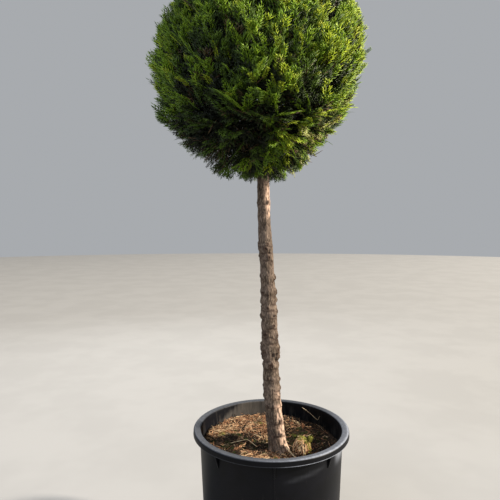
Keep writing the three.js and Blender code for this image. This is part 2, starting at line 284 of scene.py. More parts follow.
@dataclass(frozen=True)
class MouldedPolyethylene(Finish):
    """Carbon-black polyethylene, blow moulded: satin, with a faint orange peel under pale films.

    Brown dust lies where the piece's own dust attribute says, with a painted patch of sunlight
    inside; a painted blue-grey sheen and glint on the rim, and grey scuffs, lie where its sheen and
    scuff attribute says. Noise breaks both up, and under the dust the plastic is matt.
    """

    # The colour of the dust, also laid as a painted patch of sunlight inside; and the blue-grey of the
    # painted sheen on the rim, also laid for the scuffs.
    dust: str = "#625d57"
    bloom: str = "#9aa0ac"
    dusty_roughness: float = 0.8
    streak_mm: Triple = (7.0, 7.0, 50.0)

    def extras(self, tree: Tree, shader: Node, place: Socket) -> None:
        """Lays the dust and its painted sunlit patch, then the painted sheen and the scuffs, over the colour,
        and dulls the gloss under the dust.
        """
        spread = add_node(tree, "Mapping", {"Vector": place, "Scale": per_metre(self.streak_mm)})
        smears = add_node(tree, "TexNoise", {
            "Vector": spread, "Scale": 1.0, "Detail": 6.0, "Roughness": 0.65,
        })
        # Dust, with its painted patch of sunlight inside the pot.
        dusty = add_node(tree, "Attribute", {}, "Fac", attribute_name="dust")
        both = add_node(tree, "Math", {0: smears, 1: dusty}, operation="ADD")
        film = add_node(tree, "MapRange", {
            "Value": both, "From Min": 0.62, "From Max": 1.45, "To Max": 0.8,
        })
        plain = shader.inputs["Base Color"].links[0].from_socket
        dusted = add_node(tree, "Mix", {
            MIX_FACTOR: film, MIX_A: plain, MIX_B: linear(self.dust),
        }, MIX_RESULT, data_type="RGBA")
        # A painted sheen and glint on the rim, with the scuffs, go over the dusted colour.
        sheen_and_scuff_share = add_node(tree, "Attribute", {}, "Fac", attribute_name="bloom")
        patchy = add_node(tree, "MapRange", {
            "Value": smears, "From Min": 0.25, "From Max": 0.7, "To Min": 0.45, "To Max": 1.0,
        })
        share = add_node(tree, "Math", {0: sheen_and_scuff_share, 1: patchy}, operation="MULTIPLY")
        weathered = add_node(tree, "Mix", {
            MIX_FACTOR: share, MIX_A: dusted, MIX_B: linear(self.bloom),
        }, MIX_RESULT, data_type="RGBA")
        tree.links.new(weathered, shader.inputs["Base Color"])
        dull = add_node(tree, "MapRange", {
            "Value": film, "From Max": 0.5, "To Min": self.roughness, "To Max": self.dusty_roughness,
        })
        tree.links.new(dull, shader.inputs["Roughness"])


@dataclass(frozen=True)
class FibrousBark(Finish):
    """Bark in thin upright fibres: weathered grey-brown ridges, darker furrows, brown scars.

    Its attributes follow its own relief, so colour and shape agree: the furrows, cracks and pits are
    darkened as painted shade, the scars are dark brown with painted shade in the crease below each
    knot, and pale patches on the sunny side are painted sunlight.
    """

    # Colours of the painted sunlight, of the painted shade in furrows, cracks and pits, and of the scars with
    # painted shade below them.
    painted_sunlight: str = "#c9ab96"
    furrow_shade: str = "#261e19"
    scar_and_shade: str = "#2b1c15"
    ridge: str = "#a08e7c"
    fibre_mm: Triple = (2.2, 2.2, 10.0)

    def colour(self, tree: Tree, place: Socket) -> Socket:
        """Draws pale fibres over the patches, then lays on painted sunlight, the painted shade of the furrows
        and pits, and the scars with their painted shade.
        """
        ground = super().colour(tree, place)
        fibres = add_node(tree, "MapRange", {
            "Value": self.grain(tree, place), "From Min": 0.47, "From Max": 0.75, "To Max": 0.75,
        })
        coat_colour = add_node(tree, "Mix", {
            MIX_FACTOR: fibres, MIX_A: ground, MIX_B: linear(self.ridge),
        }, MIX_RESULT, data_type="RGBA")
        for attribute, shade in (("painted_sunlight", self.painted_sunlight), ("furrow_shade", self.furrow_shade), ("scar_and_shade", self.scar_and_shade)):
            where = add_node(tree, "Attribute", {}, "Fac", attribute_name=attribute)
            coat_colour = add_node(tree, "Mix", {
                MIX_FACTOR: where, MIX_A: coat_colour, MIX_B: linear(shade),
            }, MIX_RESULT, data_type="RGBA")
        return coat_colour

    def grain(self, tree: Tree, place: Socket) -> Socket:
        """Gives the height of fibres that run up the stem."""
        drawn = add_node(tree, "Mapping", {"Vector": place, "Scale": per_metre(self.fibre_mm)})
        return add_node(tree, "TexNoise", {
            "Vector": drawn, "Scale": 1.0, "Detail": 4.0, "Roughness": 0.6,
        })


class Tones(Enum):
    """A family of tones of one stuff: each has a base colour and the colour of its patches."""

    def of_stuff(self, stuff: str, **grain: float) -> Finish:
        """Gives the stuff in this tone, with the grain of its finish."""
        base, patch = self.value
        return Finish(f"{stuff}_{self.name.lower()}", base, patch, **grain)


class LeafTone(Tones):
    """The tones of scale leaves: dead; dark to light, dealt partly at random and partly as painted shade deep
    in the ball and painted sunlight on its sunny side; and bleached.
    """

    BRONZE = ("#423623", "#5c4b30")
    SHADE = ("#151b11", "#202817")
    DEEP = ("#29371b", "#38491e")
    GREEN = ("#3f5517", "#536e1b")
    FRESH = ("#5f7f17", "#79961c")
    LIME = ("#83991d", "#9dad26")
    GOLD = ("#9fa92a", "#b7bb38")
    BLEACHED = ("#9da05a", "#b9ba7b")

    def finish(self) -> Finish:
        """Gives the waxy scale leaf of this tone: soft satin, with joints as a fine relief."""
        return self.of_stuff(
            "scale_leaf", patch_mm=9.0, grain_mm=1.5, relief_mm=0.3, roughness=0.5, gloss=0.26)


class Litter(Tones):
    """What lies on the potting mix, by colour: shredded bark, needles, straw and humus."""

    RUST = ("#85583d", "#a87a58")
    TAN = ("#b8916c", "#d3ae88")
    UMBER = ("#2b221b", "#46372a")
    STRAW = ("#c9ae86", "#dfc9a3")

    def finish(self) -> Finish:
        """Gives the dry torn fibre of this colour: dead matt, with a coarse grain."""
        return self.of_stuff(
            "dry_fibre", patch_mm=7.0, grain_mm=1.2, relief_mm=0.5, roughness=0.9, gloss=0.2)


class MossTone(Tones):
    """Two ages of moss."""

    DARK = ("#232c18", "#35401f")
    YELLOW = ("#66682c", "#979548")

    def finish(self) -> Finish:
        """Gives moss of this age: tiny matt leaves that scatter the light."""
        return self.of_stuff(
            "moss", patch_mm=5.0, grain_mm=1.0, relief_mm=0.4, roughness=0.95, gloss=0.15)


PLASTIC = MouldedPolyethylene(
    "blow_moulded_polyethylene", "#06070a", "#0a0b10",
    patch_mm=70.0, grain_mm=3.0, relief_mm=0.12, roughness=0.47, gloss=0.12,
)
BARK = FibrousBark(
    "arborvitae_bark", "#44392f", "#5d5047",
    patch_mm=24.0, grain_mm=1.6, relief_mm=0.9, roughness=0.9, gloss=0.2,
)
# Young wood still has its smooth red-brown skin.
TWIGWOOD = Finish(
    "young_twigwood", "#40301f", "#634d39",
    patch_mm=15.0, grain_mm=1.5, relief_mm=0.3, roughness=0.75, gloss=0.3,
)
# Moist composted bark: crumbly and nearly black between the shreds.
MIX = Finish(
    "composted_bark_mix", "#1f1912", "#372a1e",
    patch_mm=12.0, grain_mm=2.5, relief_mm=1.6, roughness=0.95, gloss=0.2,
)
# Matt paper, so the light stays soft and even.
PAPER = Finish(
    "studio_paper", "#a3a3a2", "#a7a7a6",
    patch_mm=400.0, grain_mm=4.0, relief_mm=0.1, roughness=0.95, gloss=0.1,
)


# The bench: modelling by operators, and meshes from arrays


def clear_selection() -> None:
    """Leaves edit mode and deselects everything."""
    if bpy.context.object and bpy.context.object.mode != "OBJECT":
        bpy.ops.object.mode_set(mode="OBJECT")
    bpy.ops.object.select_all(action="DESELECT")


def take(piece: Piece) -> Piece:
    """Makes a piece the only one selected, and active."""
    clear_selection()
    piece.select_set(True)
    bpy.context.view_layer.objects.active = piece
    return piece


def settle(piece: Piece, name: str) -> Piece:
    """Names a piece and puts its place into its mesh, so that its object sits at the origin."""
    take(piece)
    bpy.ops.object.transform_apply(location=True, rotation=True, scale=True)
    piece.name = piece.data.name = name
    return piece


def started(name: str, add: Callable, **settings: object) -> Piece:
    """Starts a piece from one of Blender's primitives.

    Args:
        name: The piece's name.
        add: The operator that adds the primitive.
        **settings: The operator's settings, with lengths in metres.

    Returns:
        The settled piece.
    """
    clear_selection()
    add(**settings)
    return settle(bpy.context.object, name)


def coat(piece: Piece, finish: Finish) -> None:
    """Gives a whole piece one finish."""
    piece.data.materials.clear()
    piece.data.materials.append(finish.material())


def points_of(piece: Piece) -> Array:
    """Reads a mesh's vertices in millimetres, one a row."""
    flat = np.empty(len(piece.data.vertices) * 3, np.float32)
    piece.data.vertices.foreach_get("co", flat)
    return flat.reshape(-1, 3).astype(float) / MM


def place_points(piece: Piece, points: Array) -> None:
    """Moves a mesh's vertices to the given places in millimetres."""
    piece.data.vertices.foreach_set("co", (points * MM).astype(np.float32).ravel())
    piece.data.update()


def store(piece: Piece, attribute: str, values: Array) -> None:
    """Keeps one number for each vertex as an attribute that a material can read."""
    layer = piece.data.attributes.new(attribute, "FLOAT", "POINT")
    layer.data.foreach_set("value", values.astype(np.float32))


def apply_modifier(piece: Piece, kind: str, **settings: object) -> None:
    """Adds a modifier of a kind with its settings, and applies it."""
    take(piece)
    modifier = piece.modifiers.new(kind.lower(), kind)
    for key, value in settings.items():
        setattr(modifier, key, value)
    bpy.ops.object.modifier_apply(modifier=modifier.name)


def joined(pieces: Sequence[Piece], name: str) -> Piece:
    """Joins pieces into the first of them."""
    take(pieces[0])
    for piece in pieces:
        piece.select_set(True)
    bpy.ops.object.join()
    return settle(pieces[0], name)


def smooth(piece: Piece, degrees: float = 35.0) -> None:
    """Shades a piece smooth, with edges sharper than an angle left crisp."""
    take(piece)
    bpy.ops.object.shade_smooth_by_angle(angle=math.radians(degrees))


def copies_round(piece: Piece, count: int) -> list[Piece]:
    """Copies a piece, each with its own mesh, evenly about the pot's axis.

    Args:
        piece: The first one, with its place in its mesh.
        count: How many there are in all.

    Returns:
        The first piece and its copies.
    """
    ring = [piece]
    for i in range(1, count):
        take(piece)
        bpy.ops.object.duplicate(linked=False)
        copy = bpy.context.object
        bpy.ops.transform.rotate(value=i * 2 * math.pi / count, orient_axis="Z", center_override=(0, 0, 0))
        ring.append(settle(copy, f"{piece.name}_{i}"))
    return ring


def turned(name: str, profile: Sequence[Span], sides: int) -> Piece:
    """Turns a closed body about Z: a disc is drawn out loop by loop along its profile.

    Args:
        name: The piece's name.
        profile: Radius and height of each loop in millimetres, from the underside to the last face.
        sides: How many sides each loop has.

    Returns:
        The body, closed by flat faces inside its first and last loop.
    """
    radius, height = profile[0]
    piece = started(
        name, bpy.ops.mesh.primitive_circle_add,
        vertices=sides, radius=radius * MM, location=(0, 0, height * MM), fill_type="NGON")
    bpy.ops.object.mode_set(mode="EDIT")
    bpy.ops.mesh.select_all(action="SELECT")
    for next_radius, next_height in profile[1:]:
        bpy.ops.mesh.extrude_region_move(
            TRANSFORM_OT_translate={"value": (0, 0, (next_height - height) * MM)})
        size = next_radius / radius
        bpy.ops.transform.resize(value=(size, size, 1), center_override=(0, 0, next_height * MM))
        radius, height = next_radius, next_height
    bpy.ops.mesh.select_all(action="SELECT")
    bpy.ops.mesh.normals_make_consistent(inside=False)
    bpy.ops.object.mode_set(mode="OBJECT")
    return piece


@dataclass
class Heap:
    """Many small shapes gathered as arrays of points and triangles, to become joined meshes."""

    points: list[Array] = field(default_factory=list)
    faces: list[Array] = field(default_factory=list)
    size: int = 0

    @property
    def triangles(self) -> int:
        """Counts the triangles on the heap."""
        return sum(len(faces) for faces in self.faces)

    def add(self, points: Array, faces: Array) -> None:
        """Puts shapes on the heap.

        Args:
            points: Vertices in millimetres, one a row.
            faces: Triangles of row numbers into these points.
        """
        self.points.append(points.reshape(-1, 3))
        self.faces.append(faces + self.size)
        self.size += len(self.points[-1])

    def add_stalks(
        self, starts: Array, bends: Array, ends: Array, radii: Sequence[float] | Array, sides: int,
    ) -> Array:
        """Puts bent, tapered stalks on the heap.

        Args:
            starts: Where they start, one a row.
            bends: The points that they lean towards.
            ends: Where they end.
            radii: The radius at each step, for all alike or in a row for each.
            sides: How many sides each stalk has.

        Returns:
            The points that they pass, by stalk, step and axis.
        """
        radii = np.asarray(radii, float)
        paths = arc_paths(starts, bends, ends, radii.shape[-1])
        self.add(*tubes(paths, np.broadcast_to(radii, paths.shape[:2]), sides))
        return paths

    def piece(self, name: str, finish: Finish) -> Piece:
        """Makes one mesh of the whole heap.

        Args:
            name: The piece's name.
            finish: What it is made of.

        Returns:
            The new piece.
        """
        points, faces = np.concatenate(self.points) * MM, np.concatenate(self.faces)
        mesh = bpy.data.meshes.new(name)
        mesh.vertices.add(len(points))
        mesh.vertices.foreach_set("co", points.astype(np.float32).ravel())
        mesh.loops.add(faces.size)
        mesh.loops.foreach_set("vertex_index", faces.astype(np.int32).ravel())
        mesh.polygons.add(len(faces))
        mesh.polygons.foreach_set("loop_start", np.arange(0, faces.size, 3, dtype=np.int32))
        mesh.update(calc_edges=True)
        mesh.materials.append(finish.material())
        piece = bpy.data.objects.new(name, mesh)
        bpy.context.collection.objects.link(piece)
        return piece


def tubes(paths: Array, radii: Array, sides: int) -> tuple[Array, Array]:
    """Wraps many paths at once in closed tapered tubes.

    Args:
        paths: Points in millimetres, by path, step and axis.
        radii: The radius at each step of each path.
        sides: How many sides each tube has.

    Returns:
        Vertices, and triangles that point outwards.
    """
    count, steps = radii.shape
    along = unit(np.gradient(paths, axis=1))
    steep = np.abs(along[:, :, 2]).mean(axis=1) > 0.8
    level = np.where(steep[:, None], [1.0, 0.0, 0.0], [0.0, 0.0, 1.0])[:, None, :]
    across = unit(np.cross(along, level))
    above = np.cross(across, along)
    turn = 2 * np.pi * np.arange(sides) / sides
    ring = across[:, :, None] * np.cos(turn)[:, None] + above[:, :, None] * np.sin(turn)[:, None]
    points = paths[:, :, None] + radii[:, :, None, None] * ring
    step, side = np.meshgrid(np.arange(steps - 1), np.arange(sides), indexing="ij")
    here, beside = step * sides + side, step * sides + (side + 1) % sides
    walls = np.stack([here, here + sides, beside, beside, here + sides, beside + sides], -1)
    cap = np.array([[0, i, i + 1] for i in range(1, sides - 1)])
    end = cap[:, ::-1] + (steps - 1) * sides
    one = np.concatenate([walls.reshape(-1, 3), cap, end])
    return points.reshape(-1, 3), repeated(one, steps * sides, count)


def arc_paths(starts: Array, bends: Array, ends: Array, steps: int) -> Array:
    """Draws a smooth bend from each start to each end, pulled towards the point between them.

    Args:
        starts: First points, one a row.
        bends: The points that the paths lean towards.
        ends: Last points.
        steps: How many points each path has.

    Returns:
        Points by path, step and axis.
    """
    t = np.linspace(0, 1, steps)[None, :, None]
    return (1 - t) ** 2 * starts[:, None] + 2 * t * (1 - t) * bends[:, None] + t ** 2 * ends[:, None]


def ride_as(piece: Piece, slot: str, *nodes: str) -> None:
    """Attaches a piece to the frame's body, hides the CAD nodes that it replaces, and notes it in the log.

    Args:
        piece: The finished piece.
        slot: The record's material slot; not used.
        *nodes: The CAD nodes that it replaces.
    """
    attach(piece, BODY)
    for node in nodes:
        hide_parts(node)
    log.info("%s: %d faces", piece.name, len(piece.data.polygons))


def ride_by_tone(heaps: dict[Tones, Heap], prefix: str, slot: str) -> None:
    """Makes a piece of each tone's heap, named by a prefix and its tone, and attaches it to the frame."""
    for tone, heap in heaps.items():
        ride_as(heap.piece(f"{prefix}_{tone.name.lower()}", tone.finish()), slot)


# The pot


@dataclass
class NurseryPot:
    """The black nursery pot: a tapered wall, a rim turned out and down, and webs under the rim.

    Bearings are in degrees from +X, seen from above, so the front is at -90.
    """

    height: float
    rim_radius: float
    top_radius: float = 184.0
    base_radius: float = 166.0
    wall: float = 3.2
    sides: int = 160
    wall_loops: int = 54
    rim_drop: float = 14.0
    rim_edge: float = 3.0
    rim_slack: float = 1.0
    # The rim's rounded outside, upwards: how far in from its radius and how far below the top.
    rim_section: tuple[Span, ...] = ((0.1, 11.8), (0.6, 3.0), (3.0, 0.4), (7.5, 0.0))
    lip_width: float = 2.0
    lip_drop: float = 0.8
    edge_softness: float = 0.8
    sharp_angle: float = 32.0
    foot_width: float = 20.0
    middle_face: float = 30.0
    base_chamfer: float = 5.0
    base_recess: float = 2.0
    gusset_count: int = 8
    gusset_length: float = 46.0
    gusset_thickness: float = 4.0
    gusset_sunk: float = 1.5
    gusset_toe: float = 3.0
    gusset_softness: float = 0.9
    seam_radius: float = 0.8
    seam_sunk: float = 0.25
    seam_lift: float = 3.0
    drain_count: int = 8
    drain_radius: float = 10.0
    drain_height: float = 18.0
    soil_line: float = 302.0
    ovalness: float = 0.0022
    waviness: float = 0.0012
    # Inside, a patch of dust and painted sunlight lies between these bearings; its far end moves back with
    # the height.
    sunlit_patch_from: Span = (84.0, 94.0)
    sunlit_patch_to: Span = (158.0, 144.0)
    sunlit_patch_slant: float = 34.0
    # How thick the dust is everywhere inside, in that patch of dust and painted sunlight, lower down, and
    # outside at the foot.
    thin_dust: float = 0.06
    sunlit_patch_dust: float = 0.42
    low_dust: float = 0.12
    splash_dust: float = 0.28
    splash_height: float = 70.0
    # Where the rim's painted sheen is strongest, where its skirt's edge takes a painted glint, and where the
    # scuffs lie.
    sunny: Stretch = Stretch(-30.0, 20.0, 85.0)
    skirt_glinting: Stretch = Stretch(-48.0, 24.0, 44.0)
    scuffed: Stretch = Stretch(-25.0, 3.0, 13.0)
    # How strong the painted sheen on the top and the shoulder and the painted glint on the skirt's edge are,
    # outside those stretches and in them.
    top_bloom: Span = (0.18, 0.48)
    shoulder_bloom: Span = (0.28, 0.93)
    skirt_bloom: Span = (0.12, 0.92)
    scuff_bloom: float = 0.9
    scuff_depths: Span = (62.0, 20.0)
    # A long faint line of painted sheen across the front.
    rub_bloom: float = 0.055
    sheen_line_depth: float = 56.0
    sheen_line_middle: float = -81.0
    sheen_line_bearings: tuple[float, ...] = (-86.0, -76.0, -56.0, -46.0)
    sheen_line_slope: float = 0.5
    sheen_line_widths: Span = (8.0, 1.0)

    @classmethod
    def from_frame(cls) -> "NurseryPot":
        """Takes the height and the rim from the CAD pot."""
        _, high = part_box("pot")
        return cls(height=high[2] / MM, rim_radius=high[0] / MM)

    def wall_radius(self, z: float) -> float:
        """Gives the outside radius of the wall at a height."""
        return between(self.base_radius, self.top_radius, z / self.height)

    def profile(self) -> list[Span]:
        """Lists the loops from the recessed underside, up the wall, over the rim and down inside."""
        under = self.height - self.rim_edge
        skirt_foot = self.height - self.rim_drop
        foot_ring = self.base_radius - self.foot_width
        floor = self.wall + self.base_recess
        levels = np.linspace(self.base_chamfer, under, self.wall_loops)
        return [
            (self.middle_face, self.base_recess),
            (foot_ring - self.base_recess, self.base_recess),
            (foot_ring, 0.0),
            (self.base_radius - self.base_chamfer, 0.0),
            *((self.wall_radius(z), z) for z in levels),
            (self.rim_radius - self.rim_edge - self.rim_slack, under),
            (self.rim_radius - self.rim_edge, skirt_foot),
            (self.rim_radius, skirt_foot),
            *((self.rim_radius - inwards, self.height - below) for inwards, below in self.rim_section),
            (self.top_radius - self.wall + self.lip_width, self.height - self.lip_drop),
            *((self.wall_radius(z) - self.wall, z) for z in levels[::-1]),
            (self.base_radius - self.wall - self.base_chamfer, floor),
            (self.middle_face, floor),
        ]

    def body(self) -> Piece:
        """Turns the pot itself, softens its edges and pierces the drain holes."""
        pot = turned("nursery_pot", self.profile(), self.sides)
        apply_modifier(
            pot, "BEVEL", width=self.edge_softness * MM, segments=2,
            limit_method="ANGLE", angle_limit=math.radians(self.sharp_angle))
        turn = -math.pi / 2 + math.pi / self.drain_count
        reach = Vector((math.cos(turn), math.sin(turn), 0)) * self.base_radius
        drill = started(
            "drill", bpy.ops.mesh.primitive_cylinder_add,
            vertices=36, radius=self.drain_radius * MM, depth=12 * self.wall * MM,
            location=(reach.x * MM, reach.y * MM, self.drain_height * MM),
            rotation=(0, math.pi / 2, turn))
        drill = joined(copies_round(drill, self.drain_count), "drill")
        apply_modifier(pot, "BOOLEAN", operation="DIFFERENCE", solver="EXACT", object=drill)
        bpy.data.objects.remove(drill)
        return pot

    def gussets(self) -> list[Piece]:
        """Makes the webs under the rim: each block's lower outer edge is drawn in to the wall."""
        top = self.height - self.rim_edge + 1
        foot = top - self.gusset_length
        skirt = self.rim_radius - self.rim_edge + 0.5
        root = self.wall_radius(foot) - self.gusset_sunk
        web = started(
            "gusset", bpy.ops.mesh.primitive_cube_add, size=1,
            location=(0, -(root + skirt) / 2 * MM, (top + foot) / 2 * MM),
            scale=(self.gusset_thickness * MM, (skirt - root) * MM, self.gusset_length * MM))
        bpy.ops.object.mode_set(mode="EDIT")
        mesh = bmesh.from_edit_mesh(web.data)
        bpy.ops.mesh.select_all(action="DESELECT")
        for vert in mesh.verts:
            vert.select_set(vert.co.y < -(root + 1) * MM and vert.co.z < (foot + 1) * MM)
        mesh.select_flush(True)
        bmesh.update_edit_mesh(web.data)
        bpy.ops.transform.translate(value=(0, (skirt - root - self.gusset_toe) * MM, 0))
        bpy.ops.object.mode_set(mode="OBJECT")
        apply_modifier(web, "BEVEL", width=self.gusset_softness * MM, segments=2)
        return copies_round(web, self.gusset_count)

    def seams(self) -> list[Piece]:
        """Makes the two raised lines that the mould's halves left down the front and back."""
        low, high = self.base_chamfer + self.seam_lift, self.height - self.gusset_length
        middle = (low + high) / 2
        lean = math.atan((self.top_radius - self.base_radius) / self.height)
        seam = started(
            "seam", bpy.ops.mesh.primitive_cylinder_add,
            vertices=8, radius=self.seam_radius * MM, depth=(high - low) * MM,
            location=(0, -(self.wall_radius(middle) - self.seam_sunk) * MM, middle * MM),
            rotation=(lean, 0, 0))
        return copies_round(seam, 2)

    def dust(self, points: Array) -> Array:
        """Says how much brown dust lies at each point, with a painted patch of sunlight inside: most inside
        behind the stem, some low outside.
        """
        z = points[:, 2]
        inside = np.hypot(points[:, 0], points[:, 1]) < self.wall_radius(z) - self.wall / 2
        bearing = np.degrees(bearing_of(points))
        height = np.clip((z - self.soil_line) / (self.height - self.soil_line), 0, 1)
        # The patch of dust and painted sunlight runs from behind the stem round to the left, lower the
        # further it goes.
        far, near = (end - self.sunlit_patch_slant * height for end in self.sunlit_patch_to)
        patch = smoothstep(bearing, *self.sunlit_patch_from) * smoothstep(bearing, far, near)
        smears = self.thin_dust + self.sunlit_patch_dust * patch + self.low_dust * (1 - height)
        return np.where(inside, smears, self.splash_dust * smoothstep(z, self.splash_height, 0))

    def bloom(self, points: Array) -> Array:
        """Says how grey each point is: a painted sheen and glint on the rim's top and edges, the scuffs below
        them, and a painted line of sheen across the front.
        """
        radius = np.hypot(points[:, 0], points[:, 1])
        bearing = np.degrees(bearing_of(points))
        depth = self.height - points[:, 2]
        inwards = self.rim_radius - radius
        sunny = self.sunny.share(bearing)
        on_top = depth < 1.5
        # The rim's top and shoulder take a painted sheen, strongest on the sunny side.
        top = between(*self.top_bloom, sunny) * on_top
        shoulder = between(*self.shoulder_bloom, sunny) * on_top * (inwards < self.rim_edge + 2.5)
        # The skirt's lower edge takes a painted glint, strongest at the right front.
        skirt = between(*self.skirt_bloom, self.skirt_glinting.share(bearing))
        skirt *= (np.abs(depth - self.rim_drop) < 1.3) * (inwards < 1.5)
        outside = radius > self.wall_radius(points[:, 2]) - self.wall / 2
        scuffs = self.scuff_bloom * outside * (depth > self.rim_drop + 2)
        scuffs = scuffs * smoothstep(depth, *self.scuff_depths) * self.scuffed.share(bearing)
        # One long faint line of painted sheen runs up to the right across the front.
        start, whole, fading, end = self.sheen_line_bearings
        off_line = depth - self.sheen_line_depth + self.sheen_line_slope * (bearing - self.sheen_line_middle)
        sheen_line = self.rub_bloom * outside * smoothstep(np.abs(off_line), *self.sheen_line_widths)
        sheen_line *= smoothstep(bearing, start, whole) * smoothstep(bearing, end, fading)
        return np.max([top, shoulder, skirt, scuffs, sheen_line], axis=0)

    def build(self) -> None:
        """Makes the pot as one piece that replaces its CAD node."""
        pot = joined([self.body(), *self.gussets(), *self.seams()], "nursery_pot")
        points = points_of(pot)
        bearing = bearing_of(points)
        # A blow-moulded wall is never quite round.
        sway = 1 + self.ovalness * np.sin(2 * bearing + 0.7)
        sway += self.waviness * np.sin(5 * bearing + points[:, 2] / 60)
        points[:, :2] *= sway[:, None]
        place_points(pot, points)
        # Dust with a painted patch of sunlight inside, and a painted sheen on the rim with the scuffs.
        store(pot, "dust", self.dust(points))
        store(pot, "bloom", self.bloom(points))
        smooth(pot)
        coat(pot, PLASTIC)
        ride_as(pot, "pot_plastic", "pot")


# The stem


# Height, bearing in degrees from +X, and size of each whorl of pruned branches.
KNOT_WHORLS = (
    (350, -60, 0.9), (381, -48, 1.0), (420, -130, 0.8), (440, 175, 0.9), (462, -15, 1.0), (483, -10, 0.9),
    (520, -95, 1.3), (543, -5, 1.6), (561, 185, 1.7), (582, -40, 1.0), (597, -125, 1.1), (620, -62, 1.1),
    (641, 172, 1.1), (654, -14, 1.1), (664, -100, 0.9), (684, -20, 1.2), (704, -8, 1.3), (740, -12, 1.1),
    (792, -72, 1.0), (814, -92, 1.3), (826, 180, 0.9), (934, -55, 0.8),
)


@dataclass
class Stem:
    """The clear stem: it leans left and back, and swells among the whorls of pruned branches."""

    ground_z: float
    tip_z: float
    xs: tuple[float, ...] = (17, 2, -3.5, -8.5, -17, -20.5, -22, -24, -25)
    ys: tuple[float, ...] = (-26, -22, -17, -12, -7, -3, -1, 0, 0)
    foot_radius: float = 21.5
    neck_radius: float = 16.3
    neck_z: float = 886.0
    tip_radius: float = 4.0
    swell: float = 0.7
    swell_z: float = 630.0
    swell_span: float = 95.0
    flare: float = 5.5
    flare_height: float = 20.0
    flare_lobes: int = 5
    whorl_swell: float = 1.2
    whorl_span: float = 9.0
    whorl_limit: float = 1.3
    knots_per_whorl: int = 3
    knot_turn: float = 30.0
    knot_spread: float = 5.0
    knot_radius: float = 7.6
    knot_height: float = 2.5
    knot_dish: float = 1.5
    knot_crease: float = 1.4
    knot_reach: float = 30.0
    sides: int = 96
    clear_rings: int = 420
    clear_top: float = 1010.0
    ring_cuts: tuple[int, int] = (22, 21)
    lowest_ring: float = 0.3
    tip_smooth: float = 30.0
    # Where sunlight is painted on the bark as pale patches: the bearings, the foot below and the neck above.
    sunlit_side: Stretch = Stretch(-30.0, 20.0, 66.0)
    sunlit_foot: Span = (480.0, 400.0)
    sunlit_neck: Span = (880.0, 920.0)
    sunlit_drift: float = 26.0

    @classmethod
    def from_frame(cls) -> "Stem":
        """Takes the ends of the stem from the CAD trunk, which stands just clear of the mix."""
        low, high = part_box("trunk")
        return cls(ground_z=math.floor(low[2] / MM), tip_z=high[2] / MM)

    def middle(self, z: Field) -> Array:
        """Gives the stem's middle at a height, on a smooth curve through the known points.

        Args:
            z: One height or many, in millimetres.

        Returns:
            Points, with X, Y and Z along the last axis.
        """
        z = np.asarray(z, float)
        last = len(self.xs) - 1
        along = np.clip((z - self.ground_z) / (self.tip_z - self.ground_z), 0, 1) * last
        knot = np.minimum(along.astype(int), last - 1)
        t = along - knot
        axes = []
        for values in (self.xs, self.ys):
            v = np.array([2 * values[0] - values[1], *values, 2 * values[-1] - values[-2]])
            before, start, end, after = v[knot], v[knot + 1], v[knot + 2], v[knot + 3]
            leave, arrive = (end - before) / 2, (after - start) / 2
            cubic = (2 * start - 2 * end + leave + arrive) * t ** 3
            square = (-3 * start + 3 * end - 2 * leave - arrive) * t ** 2
            axes.append(cubic + square + leave * t + start)
        return np.stack([*axes, z], axis=-1)

    def radius(self, z: Field, bearing: Field = 0.0) -> Array:
        """Gives the stem's radius at a height and bearing, before its bark and knots."""
        z = np.asarray(z, float)
        height = z - self.ground_z
        lower = between(self.foot_radius, self.neck_radius, height / (self.neck_z - self.ground_z))
        upper_share = np.clip((z - self.neck_z) / (self.tip_z - self.neck_z), 0, 1) ** 1.6
        taper = np.where(z < self.neck_z, lower, between(self.neck_radius, self.tip_radius, upper_share))
        swell = self.swell * np.exp(-(((z - self.swell_z) / self.swell_span) ** 2))
        lobes = 1 + 0.4 * np.cos(self.flare_lobes * bearing + 0.6) + 0.3 * np.cos(bearing + 0.5)
        whorls = sum(size * np.exp(-(((z - at) / self.whorl_span) ** 2)) for at, _, size in KNOT_WHORLS)
        flare = self.flare * lobes * np.exp(-height / self.flare_height)
        return taper + swell + self.whorl_swell * np.minimum(whorls, self.whorl_limit) + flare

    def knots(self) -> list[Triple]:
        """Lists the height, bearing and size of every knot, whorl by whorl."""
        found = []
        for whorl, (z, first, size) in enumerate(KNOT_WHORLS):
            for i in range(self.knots_per_whorl):
                apart = 360 / self.knots_per_whorl
                turn = i * (apart + between(-self.knot_turn, self.knot_turn, chance(whorl, i)))
                height = z + i * between(-self.knot_spread, self.knot_spread, chance(whorl, 4 + i))
                found.append((height, math.radians(first + turn), size * (1 - 0.15 * i)))
        return found

    def ring_heights(self, rings: int) -> Array:
        """Spaces the rings: close on the clear stem, and wide inside the ball."""
        foot = self.ground_z + self.lowest_ring
        clear = np.linspace(foot, self.clear_top, self.clear_rings, endpoint=False)
        return np.append(clear, np.linspace(self.clear_top, self.tip_z, rings - self.clear_rings))

    def bark(self, points: Array, z: Array, bearing: Array) -> tuple[Array, ...]:
        """Works out the bark's relief.

        Args:
            points: The smooth stem's surface, one a row.
            z: The height of each point.
            bearing: The bearing of each point about the stem's middle.

        Returns:
            The relief in millimetres; how much painted shade each point takes in the furrows, cracks and
            pits;
            and how dark it is in the scars and in the painted shade below each knot.
        """
        drift = cloud(points, (60, 60, 90), 3.1)[:, None] * [3.0, 3.0, 0.0]
        plates = cloud(points + drift, (5.5, 5.5, 46), 9.7)
        fibres = cloud(points + drift, (2.4, 2.4, 17), 1.3)
        lumps = cloud(points, (15, 15, 17), 5.9)
        cracks = cloud(points, (10, 10, 3.0), 7.7)
        broken = smoothstep(cloud(points, (13, 13, 30), 4.2), -0.15, 0.3)
        # Furrows and cracks are darkened as painted shade.
        furrow_shade = broken * smoothstep(np.abs(plates), 0.14, 0.0) + 0.45 * smoothstep(cracks, 0.4, 0.6)
